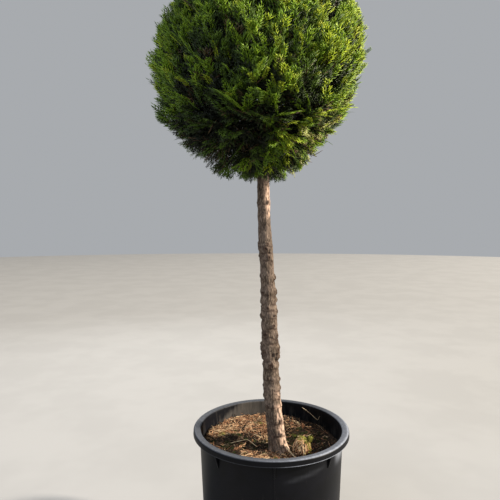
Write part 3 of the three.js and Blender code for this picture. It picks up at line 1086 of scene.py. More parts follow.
        # Small pits, also darkened as painted shade.
        specks = smoothstep(cloud(points, (2.6, 2.6, 5), 6.6), 0.22, 0.5)
        relief = 1.1 * lumps + 0.7 * fibres + 0.7 * np.abs(plates) - 0.8 * furrow_shade - 0.4 * specks
        scar_and_shade = np.zeros(len(z))
        width = self.radius(z, bearing)
        for at, way, size in self.knots():
            turn = (bearing - way + math.pi) % (2 * math.pi) - math.pi
            near = (np.abs(z - at) < self.knot_reach * size) & (np.abs(turn) < 1.6)
            aside = np.abs(turn[near])
            rise = (z[near] - at) / (self.knot_radius * size)
            # The gap to the knot's middle in knot radii: each knot is a little taller or wider.
            squat = between(0.8, 1.3, 37 * size % 1)
            gap = np.hypot(aside * width[near] / (self.knot_radius * size), rise * squat)
            gap *= 1 + 0.7 * lumps[near] + 0.5 * fibres[near]
            boss = self.knot_height * size * (1 - smoothstep(gap, 0.35, 1.15))
            dish = self.knot_dish * size * (1 - smoothstep(gap, 0.05, 0.4))
            below = np.exp(-((rise + 1.1 + 0.5 * lumps[near]) ** 2) * 9)
            crease = self.knot_crease * size * below * (1 - smoothstep(aside, 0.4, 1.3))
            relief[near] += boss - dish - crease
            # The scars are dark brown; the crease below each knot is darkened as painted shade.
            dark = np.maximum(1 - smoothstep(gap, 0.25, 0.8), 0.7 * below * (aside < 0.9))
            scar_and_shade[near] = np.maximum(scar_and_shade[near], dark)
        return relief, np.clip(furrow_shade + 0.8 * specks, 0, 1) * 0.65, np.clip(scar_and_shade, 0, 1) * 0.85

    def painted_sunlight(self, points: Array, z: Array, bearing: Array) -> Array:
        """Says how strong the painted sunlight is on the bark: pale patches on the sunny side, at the foot
        and under the ball.
        """
        drift = self.sunlit_drift * cloud(points, (12, 12, 18), 3.3)
        patchy = smoothstep(cloud(points, (5, 5, 13), 12.4), -0.35, 0.15)
        side = self.sunlit_side.share(np.degrees(bearing) + drift)
        ends = smoothstep(z + drift, *self.sunlit_foot) + smoothstep(z + drift, *self.sunlit_neck)
        return 0.85 * patchy * side * ends

    def build(self) -> None:
        """Makes the barked stem, from the flat cut on the mix up to its tip inside the ball."""
        stem = started(
            "barked_stem", bpy.ops.mesh.primitive_cylinder_add,
            vertices=self.sides, radius=1, depth=1, end_fill_type="NGON")
        bpy.ops.object.mode_set(mode="EDIT")
        # The upright edges are cut into rings in two rounds.
        for cuts in self.ring_cuts:
            bpy.ops.mesh.select_all(action="DESELECT")
            mesh = bmesh.from_edit_mesh(stem.data)
            for edge in mesh.edges:
                edge.select_set(abs(edge.verts[0].co.z - edge.verts[1].co.z) > 1e-6)
            bmesh.update_edit_mesh(stem.data)
            bpy.ops.mesh.subdivide(number_cuts=cuts)
        bpy.ops.object.mode_set(mode="OBJECT")
        start = points_of(stem) * MM
        levels, ring = np.unique(np.round(start[:, 2], 5), return_inverse=True)
        z = self.ring_heights(len(levels))[ring]
        bearing = bearing_of(start)
        out = np.stack([np.cos(bearing), np.sin(bearing), np.zeros(len(z))], axis=-1)
        surface = self.middle(z) + out * self.radius(z, bearing)[:, None]
        relief, furrow_shade, scar_and_shade = self.bark(surface, z, bearing)
        ends = smoothstep(z, self.tip_z, self.tip_z - self.tip_smooth) * 0.95 + 0.05
        place_points(stem, surface + out * (relief * ends)[:, None])
        # Painted shade in the furrows, pits and creases below the knots, dark scars, and painted sunlight.
        store(stem, "furrow_shade", furrow_shade)
        store(stem, "scar_and_shade", scar_and_shade)
        store(stem, "painted_sunlight", self.painted_sunlight(surface, z, bearing))
        smooth(stem, 60)
        coat(stem, BARK)
        ride_as(stem, "bark", "trunk")


# The foliage


# A spray's fingers, as shares of its length: how wide they are on forked and plain sprays, how
# long the longest is and from what length one forks; and their bearings in degrees, at the
# spray's foot and tip, and of a fork from its finger.
FORKED_WIDTH, PLAIN_WIDTH = 0.047, 0.1
LONGEST_FINGER, SHORTEST_FORKED = 0.36, 0.27
FINGER_TURNS = (41.0, 26.0)
FORK_TURN = 31.0


@dataclass
class SprayPattern:
    """A flat spray of scale leaves one unit long: fingers by turns on both sides of a rachis.

    X is across the spray, Y along it and Z out of its flat. Each finger has four faces: seen
    from above it is a kite with a ridge across, and seen from below a keel.
    """

    points: Array
    faces: Array

    @staticmethod
    def heading(degrees: float) -> Array:
        """Gives the direction at a bearing from the rachis, to the right."""
        angle = math.radians(degrees)
        return np.array([math.sin(angle), math.cos(angle)])

    @classmethod
    def finger(cls, base: Array, degrees: float, length: float, width: float) -> Array:
        """Places the four corners of one finger.

        Args:
            base: Where it leaves the rachis or its parent, across and along.
            degrees: Its bearing from the rachis, to the right.
            length: Its length as a share of the spray's.
            width: Its width at its widest.

        Returns:
            The base, right, left and tip corners.
        """
        along = cls.heading(degrees)
        across = np.array([along[1], -along[0]]) * width / 2
        belly = base + along * length * 0.36
        flat = np.array([base, belly + across, belly - across, base + along * length])
        return np.column_stack([flat, [0, 0.26 * width, 0.26 * width, 0]])

    @classmethod
    def grown(cls, draw: np.random.Generator, pairs: int, forked: bool) -> "SprayPattern":
        """Grows one pattern by the plant's habit.

        Args:
            draw: Where its small differences come from.
            pairs: How many branchlets it has on each side.
            forked: Whether the branchlets carry fingers of their own.

        Returns:
            The pattern.
        """
        width = FORKED_WIDTH if forked else PLAIN_WIDTH
        # The rachis is three fingers in line.
        fingers = [
            cls.finger(np.zeros(2), 0, 0.55, width * 0.7),
            cls.finger(np.array([0.0, 0.3]), draw.uniform(-3, 3), 0.45, width * 0.8),
            cls.finger(np.array([0.0, 0.66]), draw.uniform(-5, 5), 0.34, width),
        ]
        for i in range(2 * pairs):
            hand = 1 if i % 2 else -1
            y = between(0.1, 0.9, (i + draw.uniform(-0.3, 0.3)) / (2 * pairs - 1))
            turn = hand * (between(*FINGER_TURNS, y) + draw.uniform(-9, 9))
            length = LONGEST_FINGER * math.sin(math.pi * between(0.27, 0.9, y))
            length *= draw.uniform(0.75, 1.25)
            base = np.array([0.0, y])
            fingers.append(cls.finger(base, turn, length, width))
            if forked and length > SHORTEST_FORKED:
                fork = base + cls.heading(turn) * length * 0.4
                fingers.append(cls.finger(fork, turn - hand * FORK_TURN, length * 0.55, width * 0.85))
        faces = repeated([[0, 1, 2], [2, 1, 3], [0, 3, 1], [0, 2, 3]], 4, len(fingers))
        return cls(np.concatenate(fingers), faces)


# A spray's length in millimetres, and its breadth, droop and sideways bend as shares of that.
SprayShape = tuple[float, float, float, float]


@dataclass
class Sprays:
    """The sprays of one tone and pattern: where each one grows and how it is held."""

    held: list[tuple[Vector, Vector, Vector, SprayShape]] = field(default_factory=list)

    def add(self, root: Vector, way: Vector, side: Vector, shape: SprayShape) -> None:
        """Notes one spray.

        Args:
            root: Where it starts, in millimetres.
            way: The unit direction that it grows in.
            side: A unit direction across it, in its flat.
            shape: Its length and outline.
        """
        self.held.append((root, way, side, shape))

    def mesh_arrays(self, pattern: SprayPattern) -> tuple[Array, Array]:
        """Lays the pattern along every spray.

        Args:
            pattern: The spray at unit length.

        Returns:
            Vertices in millimetres, and triangles.
        """
        *directions, shapes = zip(*self.held)
        root, way, side = (rows(vectors)[:, None] for vectors in directions)
        length, breadth, droop, bend = (column[:, None] for column in np.array(shapes).T)
        normal = np.cross(side, way)
        x, y, z = pattern.points.T
        across = (x * breadth + bend * y ** 2) * length
        along = y * length
        out = (z - droop * y ** 2 - 0.5 * x ** 2) * length
        points = root + across[..., None] * side + along[..., None] * way + out[..., None] * normal
        return points.reshape(-1, 3), repeated(pattern.faces, len(x), len(self.held))


@dataclass
class Frond:
    """One of the source's fronds: a leafy stalk that grows from a twig's end to the clipped face."""

    heading: Vector
    foot: Vector
    way: Vector
    side: Vector
    length: float
    reach: float
    tone: float


# Up to how fresh growth has each tone; what is fresher still is gold.
TONE_LIMITS = (
    (0.16, LeafTone.SHADE),
    (0.32, LeafTone.DEEP),
    (0.5, LeafTone.GREEN),
    (0.7, LeafTone.FRESH),
    (0.96, LeafTone.LIME),
)
COLLAR_TONES = [LeafTone.SHADE, LeafTone.DEEP, LeafTone.DEEP, LeafTone.GREEN, LeafTone.FRESH]
# The sprays of a shoot: how far along it each starts, which way it leans aside, and its scale.
SHOOT_SPRAYS = ((0.3, -1, 0.8), (0.62, 1, 0.9), (1.0, 0, 1.0))
# Where the light comes from; and where the ball is fuller and flatter than a true one.
SUNNY_SIDE = Vector((0.95, 0.05, 0.2)).normalized()
FULLER_WAY = Vector((0.75, 0, 0.66))
FLATTER_WAY = Vector((0.84, -0.05, -0.54))


@dataclass
class ClippedBall:
    """The clipped ball: boughs, twigs and sprays that grow on from the stem by the source's rule."""

    stem: Stem
    centre: Vector = field(default_factory=lambda: Vector((-26.0, 0.0, 1267.0)))
    radius: float = 270.0
    core_radius: float = 220.0
    fuller: float = 13.0
    flatter: float = 32.0
    pointed: float = 9.0
    bough_count: int = 26
    bough_reach: float = 0.7
    bough_rise: float = 60.0
    bough_sag: float = 14.0
    bough_radii: Span = (5.2, 2.2)
    lowest_fork_z: float = 1045.0
    twig_radii: Span = (2.6, 1.9)
    twig_count: int = 106
    twig_sunk: float = 15.0
    twig_lift: float = 0.7
    side_wander: float = 0.25
    top_wander: float = 1.1
    frond_roll: float = 1.1
    longest_frond: float = 118.0
    fork_spread: float = 0.95
    fork_out: float = 0.35
    forks_apart: float = 9.0
    clip_uneven: float = 11.0
    collar_drop: float = 12.0
    stray_reach: float = 18.0
    stray_share: float = 0.14
    stem_clearance: float = 5.0
    spray_clearance: float = 3.0
    shoots_per_frond: int = 8
    shoot_span: Span = (0.04, 0.84)
    shoot_short_of_face: float = 20.0
    shortest_shoot: float = 4.0
    stalk_radius: float = 2.2
    shoot_radius: float = 1.25
    furthest: float = 296.0
    spray_length: Span = (62.0, 108.0)
    spray_out: float = 0.5
    spray_lift: float = 1.05
    # How far sprays end from the face: at random, more for fresh ones, and within limits.
    clip_scatter: Span = (-5.0, 5.0)
    clip_by_freshness: float = 34.0
    clip_limits: Span = (-28.0, 6.0)
    wisp_share: float = 0.04
    wisp_extra: Span = (5.0, 15.0)
    most_missing: float = 0.5
    collar_count: int = 64
    collar_heights: Span = (1030.0, 1085.0)
    collar_length: Span = (34.0, 58.0)
    inner_count: int = 2700
    inner_radii: Span = (150.0, 232.0)
    inner_face: float = 28.0
    old_length: Span = (44.0, 66.0)
    old_short_of_face: float = 20.0
    gap_radius: float = 34.0
    gap_sprays: int = 9
    patterns_full: int = 8
    patterns_plain: int = 4
    piece_limit: int = 190_000

    def __post_init__(self) -> None:
        """Grows the spray patterns and opens a list for each tone and pattern."""
        self.draw = np.random.default_rng(SEED)
        self.full = [SprayPattern.grown(self.draw, 6, True) for _ in range(self.patterns_full)]
        self.plain = [SprayPattern.grown(self.draw, 4, False) for _ in range(self.patterns_plain)]
        self.leafage = {
            tone: [Sprays() for _ in range(self.patterns_full + self.patterns_plain)] for tone in LeafTone
        }
        self.wood = Heap()
        self.bough_wood = Heap()
        self.grown_at: list[Vector] = []

    @staticmethod
    def spiral(i: int, count: int) -> Vector:
        """Gives direction number i of count that cover a sphere evenly."""
        height = 1 - (2 * (i + 0.5)) / count
        radius = math.sqrt(1 - height * height)
        return Vector((radius * math.cos(i * GOLDEN_ANGLE), radius * math.sin(i * GOLDEN_ANGLE), height))

    def stem_middle(self, z: float) -> Vector:
        """Gives the stem's middle at a height as a vector."""
        return Vector(self.stem.middle(z))

    def grow_boughs(self) -> list[tuple[Vector, Vector]]:
        """Lists where each bough heads for and the fork on the stem that it leaves from."""
        boughs = []
        highest = self.stem.tip_z - self.bough_rise
        for i in range(self.bough_count):
            heading = self.spiral(i, self.bough_count)
            end_z = self.centre.z + heading.z * self.radius * self.bough_reach
            fork_z = min(max(end_z - self.bough_rise, self.lowest_fork_z), highest)
            boughs.append((heading, self.stem_middle(fork_z)))
        return boughs

    def room_for(self, root: Vector, way: Vector, reach: float) -> float:
        """Says how far growth can run from root before it passes the clipped face."""
        offset = root - self.centre
        along = offset.dot(way)
        return -along + math.sqrt(max(along * along - offset.length_squared + reach * reach, 0))

    def clear_of_stem(self, root: Vector, way: Vector, length: float, clearance: float) -> bool:
        """Says whether growth along way keeps its distance from the stem."""
        beside = self.stem_middle(min(root.z, self.stem.tip_z))
        if math.hypot(root.x - beside.x, root.y - beside.y) > length + 3 * self.stem.foot_radius:
            return True
        for share in (0, 0.33, 0.66, 1):
            point = root + way * (length * share)
            middle = self.stem_middle(min(point.z, self.stem.tip_z))
            if (point - middle).length <= self.stem.radius(max(point.z, self.stem.ground_z)) + clearance:
                return False
        return True

    @staticmethod
    def side_of(way: Vector, twist: float) -> Vector:
        """Gives the direction across a frond: level, then turned about its way by twist."""
        level = way.cross(UP).normalized()
        return Matrix.Rotation(twist, 3, way) @ level

    def twig_axis(self, index: int, heading: Vector, root: Vector, fork: Vector) -> Vector:
        """Gives the way a twig's end points: on from its bough, outwards and up to the light."""
        wander = between(self.side_wander, self.top_wander, max(heading.z, 0) ** 2)
        sway = Vector([between(-wander, wander, chance(index, channel)) for channel in (5, 6, 7)])
        lift = self.twig_lift * float(smoothstep(heading.z, -0.8, 0.2))
        return ((root - fork).normalized() + heading + UP * lift + sway).normalized()

    def fronds_of(self, index: int, heading: Vector, root: Vector, axis: Vector) -> list[Frond]:
        """Forks a twig's end into up to three fronds, as the source does.

        Args:
            index: The twig's number.
            heading: Its direction from the ball's centre.
            root: Where it leaves the inner growth.
            axis: The way its end points.

        Returns:
            The fronds that keep clear of the stem.
        """
        twist = between(-self.frond_roll, self.frond_roll, chance(index, 10))
        side = self.side_of(axis, twist)
        strays = chance(index, 8) < self.stray_share
        past = self.stray_reach if strays else self.clip_uneven * chance(index, 9)
        reach = self.radius + past + self.collar_drop * float(smoothstep(-heading.z, 0.7, 0.95))
        fronds = []
        for hand in (-1, 0, 1):
            spread = hand * self.fork_spread * between(0.8, 1.15, chance(index, 15 + hand))
            way = (axis + side * spread + heading * (self.fork_out if hand else 0)).normalized()
            foot = root + side * (hand * self.forks_apart)
            length = min(self.room_for(foot, way, reach), self.longest_frond)
            if not self.clear_of_stem(foot, way, length, self.stem_clearance):
                continue
            roll = twist + hand * between(0.3, 1, chance(index, 18 + hand)) * self.frond_roll
            tone = chance(index, 31 + hand)
            fronds.append(Frond(heading, foot, way, self.side_of(way, roll), length, reach, tone))
        return fronds

    def tone_for(self, habit: float, root: Vector) -> LeafTone:
        """Deals a spray its tone: painted lighter towards the light and at the face, painted darker deeper in
        and low at the left, bronze here and there.

        Args:
            habit: How fresh its shoot is, from 0 to 1.
            root: Where the spray starts.

        Returns:
            The tone.
        """
        offset = root - self.centre
        depth = float(smoothstep(offset.length, 252, 196))
        way = offset.normalized()
        sun = way.dot(SUNNY_SIDE)
        low_left = float(smoothstep(-way.z, 0.15, 0.7) * smoothstep(-way.x, -0.2, 0.45))
        low_right = float(smoothstep(-way.z, 0.3, 0.65) * smoothstep(way.x, 0.0, 0.45))
        # Low on the sunny side some sprays are dead, and the clipped tips have bleached.
        spoilt = self.draw.random()
        if spoilt < 0.004 + 0.1 * depth + 0.07 * low_right:
            return LeafTone.BRONZE
        if spoilt > 1 - 0.24 * low_right * (1 - depth):
            return LeafTone.BLEACHED
        # Freshness is random by shoot; on it lie painted shade deeper in, painted sunlight on the sunny side
        # with a cap on the shaded side, and painted shade low at the left.
        fresh = 0.5 + 0.85 * (habit - 0.5) + 0.22 * (self.draw.random() - 0.5) - 0.5 * depth
        fresh += (0.06 if sun > 0 else 0.25) * max(sun, -0.6)
        fresh = min(fresh, between(0.62, 1.0, float(smoothstep(sun, -0.3, 0.6))))
        fresh -= 0.2 * low_left
        # Single sprays at the face are painted lime, and on the sunny side gold, as painted highlights where
        # sprays catch the light.
        painted_glint = self.draw.random()
        if painted_glint < 0.08 * (1 - depth) * (1 - low_left):
            fresh = max(fresh, 0.76 + (3.6 if sun > 0.35 else 1.5) * painted_glint)
        return next((tone for limit, tone in TONE_LIMITS if fresh < limit), LeafTone.GOLD)

    def add_spray(
        self, tone: LeafTone, root: Vector, way: Vector, side: Vector, reach: float, scale: float,
    ) -> None:
        """Grows one full spray, clipped at the ball's face.

        Args:
            tone: Its tone.
            root: Where it leaves its shoot.
            way: The unit direction that it grows in.
            side: A direction across it.
            reach: How far from the ball's centre its tip may lie.
            scale: Its size against an average one.
        """
        draw = self.draw
        natural = draw.uniform(*self.spray_length) * scale
        # A few thin sprays outgrew the others since the ball was clipped.
        wisp = draw.random() < self.wisp_share
        uneven = min(draw.normal(-1, 4.5), 8) + (draw.uniform(*self.wisp_extra) if wisp else 0)
        room = self.room_for(root, way, min(reach + uneven + self.out_of_round(root), self.furthest))
        length = min(natural, max(room, 0.55 * natural))
        if room < length:
            root = root - way * (length - room)
        if not self.clear_of_stem(root, way, length, self.spray_clearance):
            return
        roll = Matrix.Rotation(draw.uniform(-0.9, 0.9), 3, way)
        across = roll @ (side - way * side.dot(way)).normalized()
        # A spray that is cut short keeps the breadth of a long one.
        breadth = (0.6 if wisp else min(natural / length, 1.35)) * draw.uniform(0.75, 1.05)
        shape = (length, breadth, draw.uniform(-0.1, 0.2), draw.uniform(-0.16, 0.16))
        pattern = int(draw.integers(self.patterns_full))
        self.leafage[LeafTone.GREEN if wisp else tone][pattern].add(root, way, across, shape)
        self.grown_at.append(root + way * (length / 2))

    def out_of_round(self, point: Vector) -> float:
        """Gives how far the clipped face lies from the sphere: fuller up right, flatter low right."""
        way = (point - self.centre).normalized()
        fuller = self.fuller * float(smoothstep(way.dot(FULLER_WAY), 0.75, 1.0))
        flatter = self.flatter * float(smoothstep(way.dot(FLATTER_WAY), 0.7, 0.95))
        pointed = self.pointed * float(smoothstep(-way.z, 0.55, 0.8) * smoothstep(-way.z, 0.95, 0.85))
        return fuller - flatter - pointed

    def thinned(self, heading: Vector) -> float:
        """Gives the share of sprays missing underneath at the left, where sky shows through."""
        low = float(smoothstep(-heading.z, 0.5, 0.85))
        left = float(smoothstep(-heading.x, -0.35, 0.3))
        return self.most_missing * low * left

    def spray_way(self, root: Vector, shoot: Vector, fan: Vector) -> Vector:
        """Gives the way a spray grows: along its shoot, outwards, and up to the light.

        Args:
            root: Where it starts.
            shoot: The unit direction of its shoot.
            fan: How it leans aside from its shoot.

        Returns:
            The unit direction; underneath, the sprays keep outwards and down.
        """
        outward = (root - self.centre).normalized()
        lift = self.spray_lift * float(smoothstep(outward.z, -0.9, -0.2)) * self.draw.uniform(0.75, 1.15)
        return (shoot * 0.45 + outward * self.spray_out + UP * lift + fan).normalized()

    def grow_shoots(self, frond: Frond, twig_root: Vector) -> None:
        """Grows a frond's side shoots by turns left and right, with three sprays on each.

        Args:
            frond: The frond.
            twig_root: Where its twig leaves the inner growth, and its stalk starts.
        """
        draw = self.draw
        face = frond.reach + self.out_of_round(frond.foot)
        stalk = min(frond.length, self.room_for(frond.foot, frond.way, face))
        stalk_end = frond.foot + frond.way * (self.shoot_span[1] * stalk)
        starts, bends, ends = [twig_root], [frond.foot], [stalk_end]
        normal = frond.side.cross(frond.way)
        missing = self.thinned(frond.heading)
        for k in range(self.shoots_per_frond + 1):
            share = between(*self.shoot_span, k / self.shoots_per_frond)
            start = frond.foot + frond.way * (share * stalk)
            last = k == self.shoots_per_frond
            hand = 0 if last else (1 if k % 2 else -1)
            spread = hand * draw.uniform(0.5, 0.9)
            way = (frond.way + frond.side * spread + normal * draw.uniform(-0.4, 0.4)
                   + UP * draw.uniform(0.0, 0.3)).normalized()
            room = self.room_for(start, way, face) - self.shoot_short_of_face
            grown = max(min(0.5 * stalk * (1.15 - 0.7 * share), room), self.shortest_shoot)
            length = 0 if last else grown
            starts.append(start)
            bends.append(start + way * (0.55 * length) - UP * (0.05 * length))
            ends.append(start + way * length)
            across = self.side_of(way, draw.uniform(-0.5, 0.5))
            # Shoots with light grow fresh and reach the face; the shaded ones stay behind them.
            habit = between(frond.tone, draw.random(), 0.8)
            past = draw.normal(*self.clip_scatter) + self.clip_by_freshness * (habit - 0.6)
            reach = frond.reach + float(np.clip(past, *self.clip_limits))
            for along, turn, scale in SHOOT_SPRAYS:
                if draw.random() < missing:
                    continue
                root = start + way * (along * length)
                lean = turn * draw.uniform(0.25, 0.6) * (1 if k % 2 else -1)
                grow = self.spray_way(root, way, across * lean + normal * draw.uniform(-0.2, 0.2))
                self.add_spray(self.tone_for(habit, root), root, grow, across, reach, scale)
        thickness = np.array([self.stalk_radius] + [self.shoot_radius] * (len(starts) - 1))
        radii = np.linspace(1.0, 0.45, 4) * thickness[:, None]
        self.wood.add_stalks(rows(starts), rows(bends), rows(ends), radii, 3)

    def grow_inner(self, limbs: Array) -> None:
        """Fills the shade behind the fronds evenly with old twiglets, most of them dark as painted shade, a
        few dead.

        Args:
            limbs: Points all along the boughs and twigs, one a row.
        """
        draw = self.draw
        feet, roots = [], []
        fresh_growth = rows(self.grown_at)
        for i in range(self.inner_count):
            heading = self.spiral(i, self.inner_count)
            sunk = self.out_of_round(self.centre + heading)
            root = self.centre + heading * (between(*self.inner_radii, math.sqrt(draw.random())) + sunk)
            if draw.random() < self.thinned(heading) or not self.clear_of_stem(root, heading, 20, 6.0):
                continue
            gaps = ((limbs - np.array(root)) ** 2).sum(axis=1)
            feet.append(Vector(limbs[int(np.argmin(gaps))]))
            roots.append(root)
            face = self.centre + heading * (self.radius - self.inner_face + sunk)
            crowd = ((fresh_growth - np.array(face)) ** 2).sum(axis=1) < self.gap_radius ** 2
            if crowd.sum() < self.gap_sprays:
                # Where the fronds leave a gap, twiglets get light and stay green.
                way = self.spray_way(root, heading, Vector(draw.uniform(-0.5, 0.5, 3)))
                reach = self.radius - draw.uniform(0, 20)
                tone = self.tone_for(draw.random(), face)
                self.add_spray(tone, root, way, self.side_of(way, 0), reach, 1.0)
            else:
                self.grow_old(root, heading, self.radius + sunk - self.old_short_of_face)
        first, last = rows(feet), rows(roots)
        self.wood.add_stalks(first, (first + last) / 2 - [0, 0, 4], last, np.linspace(1.3, 0.7, 4), 3)

    def grow_old(self, root: Vector, heading: Vector, reach: float) -> None:
        """Grows a twiglet's two plain sprays, most in the dark shade tone as painted shade, a few dead.

        Args:
            root: Where the twiglet ends.
            heading: Its direction from the ball's centre.
            reach: How far from the centre the sprays may run.
        """
        draw = self.draw
        for _ in range(2):
            way = (heading * 0.9 + UP * 0.5 + Vector(draw.uniform(-0.9, 0.9, 3))).normalized()
            age = draw.random()
            # Most old sprays take the dark shade tone, as painted shade inside the ball.
            tone = LeafTone.BRONZE if age < 0.06 else LeafTone.SHADE if age < 0.7 else LeafTone.DEEP
            length = min(draw.uniform(*self.old_length), self.room_for(root, way, reach))
            if not self.clear_of_stem(root, way, length, self.spray_clearance):
                continue
            shape = (length, 1.15, draw.uniform(0, 0.3), draw.uniform(-0.2, 0.2))
            pattern = self.patterns_full + int(draw.integers(self.patterns_plain))
            across = self.side_of(way, draw.uniform(-1.5, 1.5))
            self.leafage[tone][pattern].add(root, way, across, shape)

    def grow_collar(self) -> None:
        """Grows the short skirt of sprays that hangs close round the stem under the ball."""
        draw = self.draw
        feet, ends = [], []
        for i in range(self.collar_count):
            bearing = i * GOLDEN_ANGLE
            out = Vector((math.cos(bearing), math.sin(bearing), 0))
            side = out.cross(UP)
            height = between(*self.collar_heights, draw.random())
            foot = self.stem_middle(height) + out * (float(self.stem.radius(height)) - 1)
            end = foot + out * draw.uniform(10, 26) - UP * draw.uniform(4, 16)
            feet.append(foot)
            ends.append(end)
            for turn in (-0.7, 0.0, 0.7):
                way = out * draw.uniform(0.15, 0.7) - UP * 0.85 + side * (turn + draw.uniform(-0.2, 0.2))
                way.normalize()
                natural = draw.uniform(*self.collar_length)
                length = min(natural, self.room_for(end, way, self.radius + draw.uniform(6, 16)))
                tone = draw.choice(COLLAR_TONES)
                across = self.side_of(way, draw.uniform(-1.5, 1.5))
                shape = (length, 1.0, draw.uniform(-0.1, 0.2), draw.uniform(-0.16, 0.16))
                self.leafage[tone][int(draw.integers(self.patterns_full))].add(end, way, across, shape)
        first, last = rows(feet), rows(ends)
        self.wood.add_stalks(first, (first + last) / 2 + [0, 0, 4], last, np.linspace(1.5, 0.8, 4), 4)

    def grow(self) -> None:
        """Grows the whole ball, from the boughs out to the last spray."""
        boughs = self.grow_boughs()
        forks = [fork for _, fork in boughs]
        ends = [self.centre + heading * (self.radius * self.bough_reach) for heading, _ in boughs]
        bends = [fork.lerp(end, 0.5) - UP * self.bough_sag for fork, end in zip(forks, ends)]
        bough_paths = self.bough_wood.add_stalks(
            rows(forks), rows(bends), rows(ends), np.linspace(*self.bough_radii, 12), 8)
        starts, bends, ends = [], [], []
        for index in range(self.twig_count):
            heading = self.spiral(index, self.twig_count)
            nearest = max(range(len(boughs)), key=lambda b: boughs[b][0].dot(heading))
            root = self.centre + heading * (self.core_radius - self.twig_sunk)
            axis = self.twig_axis(index, heading, root, forks[nearest])
            leave = Vector(bough_paths[nearest, int(between(4, 10, chance(index, 40)))])
            starts.append(leave)
            bends.append(root - axis * (0.45 * (root - leave).length))
            ends.append(root)
            for frond in self.fronds_of(index, heading, root, axis):
                self.grow_shoots(frond, root)
        twig_paths = self.bough_wood.add_stalks(
            rows(starts), rows(bends), rows(ends), np.linspace(*self.twig_radii, 8), 6)
        self.grow_inner(np.concatenate([bough_paths.reshape(-1, 3), twig_paths.reshape(-1, 3)]))
        self.grow_collar()

    def trimmed(self, points: Array) -> Array:
        """Brings in the few tips that a bend or droop carried past the furthest reach."""
        middle = np.array(self.centre)
        offset = points - middle
        far = np.linalg.norm(offset, axis=1, keepdims=True)
        return middle + offset * np.minimum(1, self.furthest / far)

    def pieces_of(self, tone: LeafTone) -> list[Piece]:
        """Joins one tone's sprays into pieces that stay under the limit on triangles."""
        heaps = [Heap()]
        for pattern, sprays in zip([*self.full, *self.plain], self.leafage[tone]):
            if not sprays.held:
                continue
            points, faces = sprays.mesh_arrays(pattern)
            if heaps[-1].faces and heaps[-1].triangles + len(faces) > self.piece_limit:
                heaps.append(Heap())
            heaps[-1].add(self.trimmed(points), faces)
        return [
            heap.piece(f"foliage_{tone.name.lower()}_{number}", tone.finish())
            for number, heap in enumerate(heaps, 1) if heap.faces
        ]

    def build(self) -> None:
        """Makes the ball's pieces, which replace its CAD node together."""
        self.grow()
        for tone in LeafTone:
            for piece in self.pieces_of(tone):
                ride_as(piece, "foliage", "clipped_ball")
        ride_as(self.wood.piece("shoots_and_twiglets", TWIGWOOD), "bark", "clipped_ball")
        ride_as(self.bough_wood.piece("boughs_and_twigs", TWIGWOOD), "bark", "clipped_ball")


# What is in the pot


# How the litter is dealt its colours, in Litter's order: the limits between them in a draw from 0
# to 1, where it is dry and lies in painted sunlight and where it is damp and lies in painted shade.
BRIGHT_LITTER = (0.32, 0.7, 0.88)
DULL_LITTER = (0.07, 0.1, 0.98)
# The photo's long straws and roots: thickness, then X, Y and height over the ground along each. They
# lie at the wall at the back right, across the left of the mix, and at the stem's foot.
STRAWS = (
    (0.6, ((96, 142, 47), (118, 127, 35), (136, 110, 22), (142, 104, 37))),
    (1.2, ((-123, -32, 15), (-93, -22, 19), (-61, -8, 20), (-36, -30, 10))),
    (2.0, ((36, -48, 20), (44, -60, 12), (52, -68, 6), (60, -74, 3))),
)


